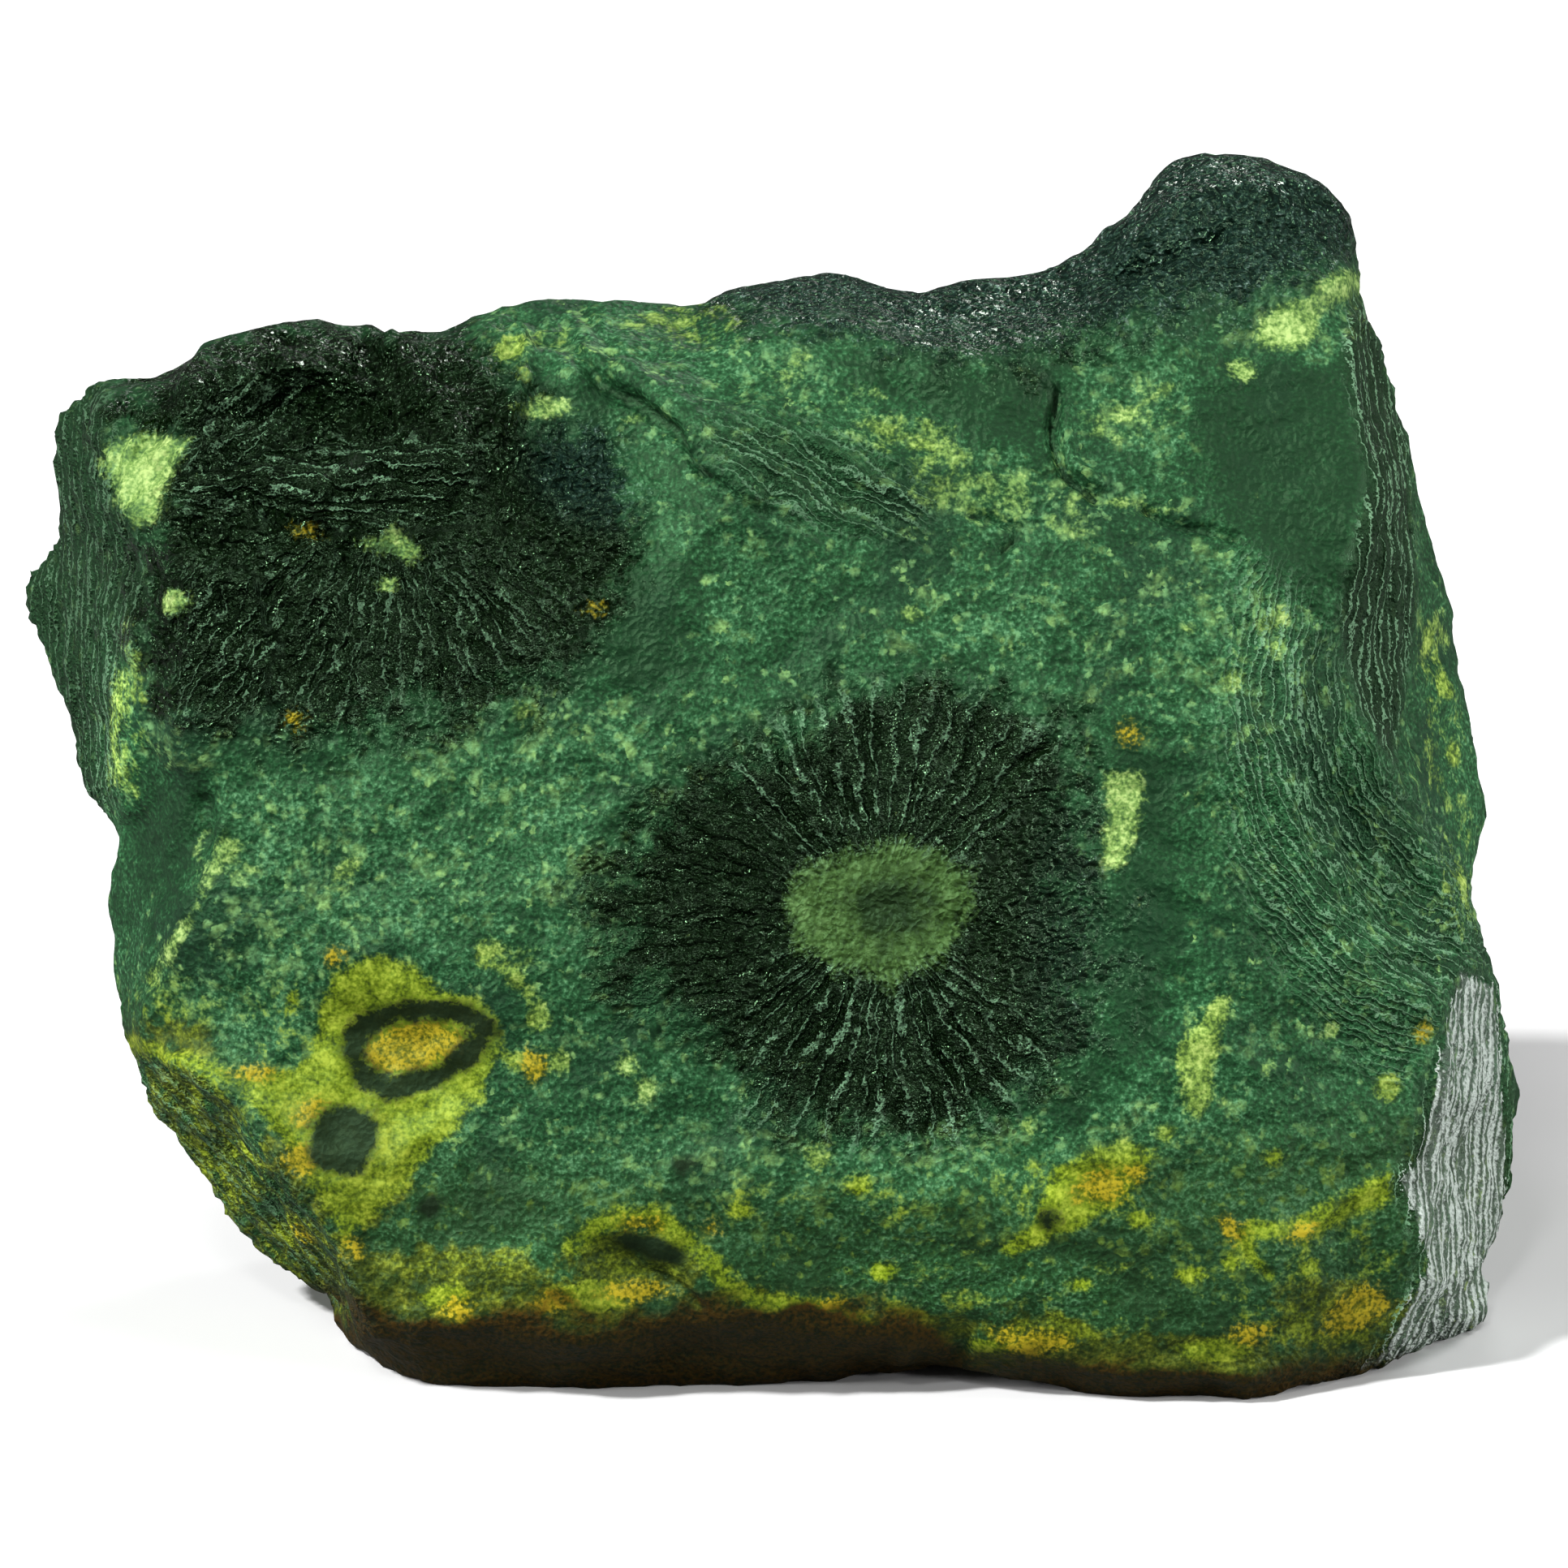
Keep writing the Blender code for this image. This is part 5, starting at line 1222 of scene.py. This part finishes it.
# The noises, in lumps per millimetre, and how the ribs waver and are jagged
GRAIN_PER_MM = 7.0
CRINKLE_PER_MM = 2.3
LUMP_PER_MM = 1.7
RAGGED_PER_MM = 0.9
RIB_WAVER = 6.0
RIB_JAG = 5.0

# Flecks, from small to large: (per millimetre, size in cells, share)
FLECKS = [(3.1, 0.5, 0.6), (1.5, 0.46, 0.5)]

# The edge of each marking, in millimetres inside it: (how ragged, where it starts to show, where it shows
# in full)
OUTLINE_EDGES = {
    "dark": (0.8, -1.1, 1.0), "ring": (0.25, -0.3, 0.35), "core": (0.35, -0.4, 0.5),
    "lime": (0.14, -0.2, 0.16), "gold": (0.25, -0.3, 0.25), "ink": (0.16, -0.3, 0.06),
    "under": (0.12, 0.1, 0.9),
}

# The surface
REFRACTION = 1.54
SHINE = 0.4
GLOSS_TINT = (0.5, 1.0, 0.5, 1)
WAXY_ROUGHNESS = 0.6
GLOSSY_ROUGHNESS = 0.2
BUMP_HEIGHT = 0.32


def shared_noises(s):
    """The noises that the colours and the surface share."""
    n = SimpleNamespace(place=s.place("bent_place"))
    grain_place = s.place("grain_place")
    n.grain = s.noise(grain_place, GRAIN_PER_MM, 1.0, 0.6)
    n.crinkle = s.ridges(grain_place, CRINKLE_PER_MM)
    n.ribs = s.waves(s.place("rib_place"), RIB_WAVER, s.times(n.grain, RIB_JAG))
    n.lump = s.noise(n.place, LUMP_PER_MM, 3.0, 0.6)
    n.ragged = s.noise(n.place, RAGGED_PER_MM, 4.0, 0.6)
    n.edge = s.sum(s.step(n.ragged, 0.28, 0.72, -1.0, 1.0), s.step(n.grain, 0.3, 0.7, -0.5, 0.5))
    n.tone = s.weighted((n.grain, 0.6), (n.lump, 0.3), (n.crinkle, 0.1))
    n.calm_tone = s.weighted((n.grain, 0.35), (n.lump, 0.45), (n.ragged, 0.2))
    return n


def edged(s, n, name):
    """A marking's field with its ragged edge, and how much the marking shows, from 0 to 1."""
    raggedness, low, high = OUTLINE_EDGES[name]
    field = s.sum(s.field(name), s.times(n.edge, raggedness))
    return field, s.step(field, low, high)


def green_ground(s, n):
    """The green ground with its paler flecks, the earthy stain on it, and how strong the stain is."""
    many, broad, low, stained = s.field("flecked"), s.field("broad"), s.field("low"), s.field("earthy")
    shift = s.sum(s.step(many, -1.0, 1.0, -0.11, 0.03), s.weighted((broad, 0.05), (low, 0.05)))
    ground = s.ramp(s.sum(n.tone, shift), GROUND)
    ground = s.blend(s.step(broad, 0.0, -0.7, 0.0, 0.5), ground, TEAL_DEEP)

    fleck = s.blend(s.step(n.ragged, 0.4, 0.6), FLECK, FLECK_LIME)
    fleck = s.blend(s.step(low, 0.05, 0.5), fleck, FLECK_OLIVE)
    worn = s.sum(many, s.step(n.lump, 0.35, 0.65, -0.35, 0.35))
    jogged = s.jogged(n.place, 4.0, 0.3)
    for per_mm, size, share in FLECKS:
        dots, shade = s.dots(jogged, per_mm, size, s.times(worn, share))
        strength = s.times(s.step(shade, 0.0, 1.0, 0.35, 0.9), s.step(n.grain, 0.3, 0.6, 0.5, 1.0))
        ground = s.blend(s.times(dots, strength), ground, fleck)
    cloud = s.weighted((many, 0.08), (n.ragged, 0.5), (n.lump, 0.5))
    ground = s.blend(s.step(cloud, 0.56, 0.72, 0.0, 0.3), ground, fleck)

    earth = s.ramp(n.calm_tone, EARTH)
    earthy = s.step(s.sum(stained, s.step(cloud, 0.35, 0.65, -0.4, 0.4)), 0.2, 0.8)
    earthy = s.times(earthy, s.step(stained, 0.0, 0.4))
    ground = s.blend(s.times(earthy, 0.85), ground, earth)
    ground = s.blend(s.field("dim"), ground, DIM)
    ground = s.blend(s.step(many, -0.2, -1.0, 0.0, 0.45), ground, GROUND_DEEP)
    ground = s.blend(s.step(low, 0.0, 0.5, 0.0, 0.4), ground, LOW_TINT)
    return ground, earth, earthy


def with_orbs(s, n, ground):
    """The ground with its near-black orbs, each with a green ring and a dark core in the middle."""
    _, dark = edged(s, n, "dark")
    _, ring = edged(s, n, "ring")
    _, core = edged(s, n, "core")
    # The cool dark carries a painted sheen of the top light
    night = s.blend(s.field("cool"), s.ramp(n.tone, NIGHT), s.ramp(n.tone, COOL_NIGHT))
    colour = s.blend(dark, ground, night)
    ring_tone = s.sum(n.calm_tone, s.times(n.ribs, 0.08))
    colour = s.blend(s.times(ring, 0.95), colour, s.ramp(ring_tone, RING))
    colour = s.blend(s.times(core, 0.93), colour, CORE)
    return colour, dark, ring


def with_lime(s, n, colour):
    """The colour with lime patches and wisps on it, which are olive in places."""
    field, patch = edged(s, n, "lime")
    speck = s.weighted((n.grain, 0.2), (n.ragged, 0.45), (n.lump, 0.35))
    wisps = s.step(s.sum(speck, s.times(s.field("wisps"), 0.3)), 0.66, 0.8)
    lime = s.larger(patch, s.times(wisps, 0.75))
    tone = s.sum(n.calm_tone, s.step(field, -0.3, 0.6, -0.05, 0.05))
    lime_colour = s.blend(s.field("olive"), s.ramp(tone, GREEN_LIME), s.ramp(tone, OLIVE_LIME))
    return s.blend(s.times(lime, 0.94), colour, lime_colour), lime


def with_spots(s, n, colour):
    """The colour with ochre and ink-dark spots on it."""
    _, gold = edged(s, n, "gold")
    _, ink = edged(s, n, "ink")
    ochre = s.ramp(s.sum(n.tone, s.step(gold, 0.5, 1.0, 0.0, 0.08)), OCHRE)
    colour = s.blend(s.times(gold, 0.95), colour, ochre)
    return s.blend(s.times(ink, 0.985), colour, INK), gold, ink


def with_crests_and_painted_light(s, n, colour, dark, ribbed):
    """The colour with pale crests on the ribs (painted glints and sheen, in places over paler streaks), a
    brown underside darkened as painted shade, painted light in places, and painted shade in hollows.
    """
    # Pale crests on the ribs: painted glints and sheen, and a painted white reflection on the lower right
    # face
    sheen_and_streaks = s.field("sheen_and_streaks")
    unbroken = s.larger(s.step(n.lump, 0.42, 0.56), s.mix(dark, 1.0, 0.0))
    lines = s.times(s.step(n.ribs, 0.88, 0.98), unbroken)
    reflected_facet = s.times(s.step(sheen_and_streaks, 0.9, 1.0), s.step(n.ribs, 0.0, 1.0, 0.12, 1.0))
    paleness = s.larger(s.times(lines, sheen_and_streaks), reflected_facet)
    pale = s.blend(s.step(sheen_and_streaks, 0.6, 0.85), CREST, REFLECTED_WHITE)
    colour = s.blend(s.times(paleness, s.math("GREATER_THAN", ribbed, 0.01)), colour, pale)
    # Painted shade on the brown underside
    _, under = edged(s, n, "under")
    colour = s.blend(under, colour, s.ramp(n.tone, SHADED_UNDERSIDE))
    # Painted light: the colour made lighter in places
    painted_light = s.node("VectorMath", {0: colour, 1: PAINTED_LIGHT_GAIN}, operation="MULTIPLY").outputs[0]
    colour = s.blend(s.field("painted_light"), colour, painted_light)
    # Painted shade in the hollows, deeper where the skin is more hollow
    return s.blend(s.step(s.field("hollow"), 0.2, 1.2, 0.0, 0.6), colour, HOLLOW_SHADE)


def jasper():
    """Green stone with pale flecks, near-black orbs, lime and ochre patches, and a broken, waxy surface."""
    material = bpy.data.materials.new(SLOT)
    material.use_nodes = True
    s = Shades(material.node_tree)
    n = shared_noises(s)
    ribbed = s.field("ribbed")
    ground, earth, earthy = green_ground(s, n)
    colour, dark, ring = with_orbs(s, n, ground)
    colour, lime = with_lime(s, n, colour)
    colour = s.blend(s.times(earthy, 0.35), colour, earth)
    colour, gold, ink = with_spots(s, n, colour)
    colour = with_crests_and_painted_light(s, n, colour, dark, ribbed)

    # Fine sharp ridges where the stone is dark or ribbed, softer where it is patchy
    patchy = s.larger(s.larger(ring, gold), s.larger(lime, ink))
    rugged = s.larger(dark, s.times(ribbed, 0.6))
    depth = s.times(s.mix(rugged, 0.25, 1.0), s.mix(patchy, 1.0, 0.45))
    crests = s.mix(s.times(ribbed, 0.7), n.crinkle, n.ribs)
    height = s.sum(crests, s.times(n.grain, 0.6))
    relief = s.node("Bump", {"Strength": depth, "Distance": BUMP_HEIGHT * MM, "Height": height})
    glossy = s.times(dark, s.mix(patchy, 1.0, 0.0))
    shader = material.node_tree.nodes["Principled BSDF"]
    shader.inputs["IOR"].default_value = REFRACTION
    shader.inputs["Specular IOR Level"].default_value = SHINE
    shader.inputs["Specular Tint"].default_value = GLOSS_TINT
    s.put(shader.inputs["Base Color"], colour)
    s.put(shader.inputs["Roughness"], s.mix(glossy, WAXY_ROUGHNESS, GLOSSY_ROUGHNESS))
    s.put(shader.inputs["Normal"], relief.outputs[0])
    return material


def aimed(name, light, place):
    """The light as an object at the place, turned to the stone's middle."""
    made = bpy.data.objects.new(name, light)
    made.location = place
    aim = Vector((0, 0, MIDDLE_HEIGHT * MM)) - Vector(place)
    made.rotation_euler = aim.to_track_quat("-Z", "Y").to_euler()
    bpy.context.scene.collection.objects.link(made)


def sun(name, place, width, power):
    """A far light as wide as it looks from the stone, so that the floor is lit evenly."""
    light = bpy.data.lights.new(name, "SUN")
    light.angle = math.radians(width)
    light.energy = power
    aimed(name, light, place)


def panel(name, place, size, power):
    """A soft square light near the stone."""
    light = bpy.data.lights.new(name, "AREA")
    light.size = size
    light.energy = power
    aimed(name, light, place)


def floor():
    """A wide pale floor."""
    mesh = bmesh.new()
    bmesh.ops.create_circle(mesh, cap_ends=True, radius=FLOOR_RADIUS, segments=96)
    made = new_object("floor", mesh)
    material = bpy.data.materials.new("pale_floor")
    material.use_nodes = True
    s = Shades(material.node_tree)
    seen = s.node("LightPath", {}).outputs["Is Camera Ray"]
    shader = material.node_tree.nodes["Principled BSDF"]
    s.put(shader.inputs["Base Color"], s.blend(seen, FLOOR_BOUNCE, FLOOR_SEEN))
    shader.inputs["Roughness"].default_value = 0.9
    shader.inputs["Specular IOR Level"].default_value = 0.0
    made.data.materials.append(material)


def sky():
    """A white backdrop to look at, which lights the stone only dimly."""
    world = bpy.data.worlds.new("studio")
    bpy.context.scene.world = world
    world.use_nodes = True
    s = Shades(world.node_tree)
    seen = s.node("LightPath", {}).outputs["Is Camera Ray"]
    background = world.node_tree.nodes["Background"]
    background.inputs["Color"].default_value = (1, 1, 1, 1)
    s.put(background.inputs["Strength"], s.mix(seen, WORLD_LIGHT, 1.0))


def studio():
    """The backdrop, the floor and the lights."""
    bpy.context.scene.view_settings.view_transform = "Standard"
    sky()
    floor()
    for name, (place, width, power) in SUNS.items():
        sun(name, place, width, power)
    for name, (place, size, power) in PANELS.items():
        panel(name, place, size, power)


def camera():
    """A long lens in front of the stone, looking down along the lean of its face."""
    scene = bpy.context.scene
    lens = bpy.data.cameras.new("camera")
    lens.lens = CAMERA_LENS
    made = bpy.data.objects.new("camera", lens)
    look = Vector((0, math.cos(LEAN), -math.sin(LEAN)))
    middle = MM * Vector((SET_ACROSS, SET_BACK, MIDDLE_HEIGHT))
    made.location = middle - look * (MM / TAPER)
    made.rotation_euler = look.to_track_quat("-Z", "Y").to_euler()
    scene.collection.objects.link(made)
    scene.camera = made


def main():
    body = stone()
    body.data.materials.append(jasper())
    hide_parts(NODE)
    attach(body, "root")
    studio()
    camera()


main()
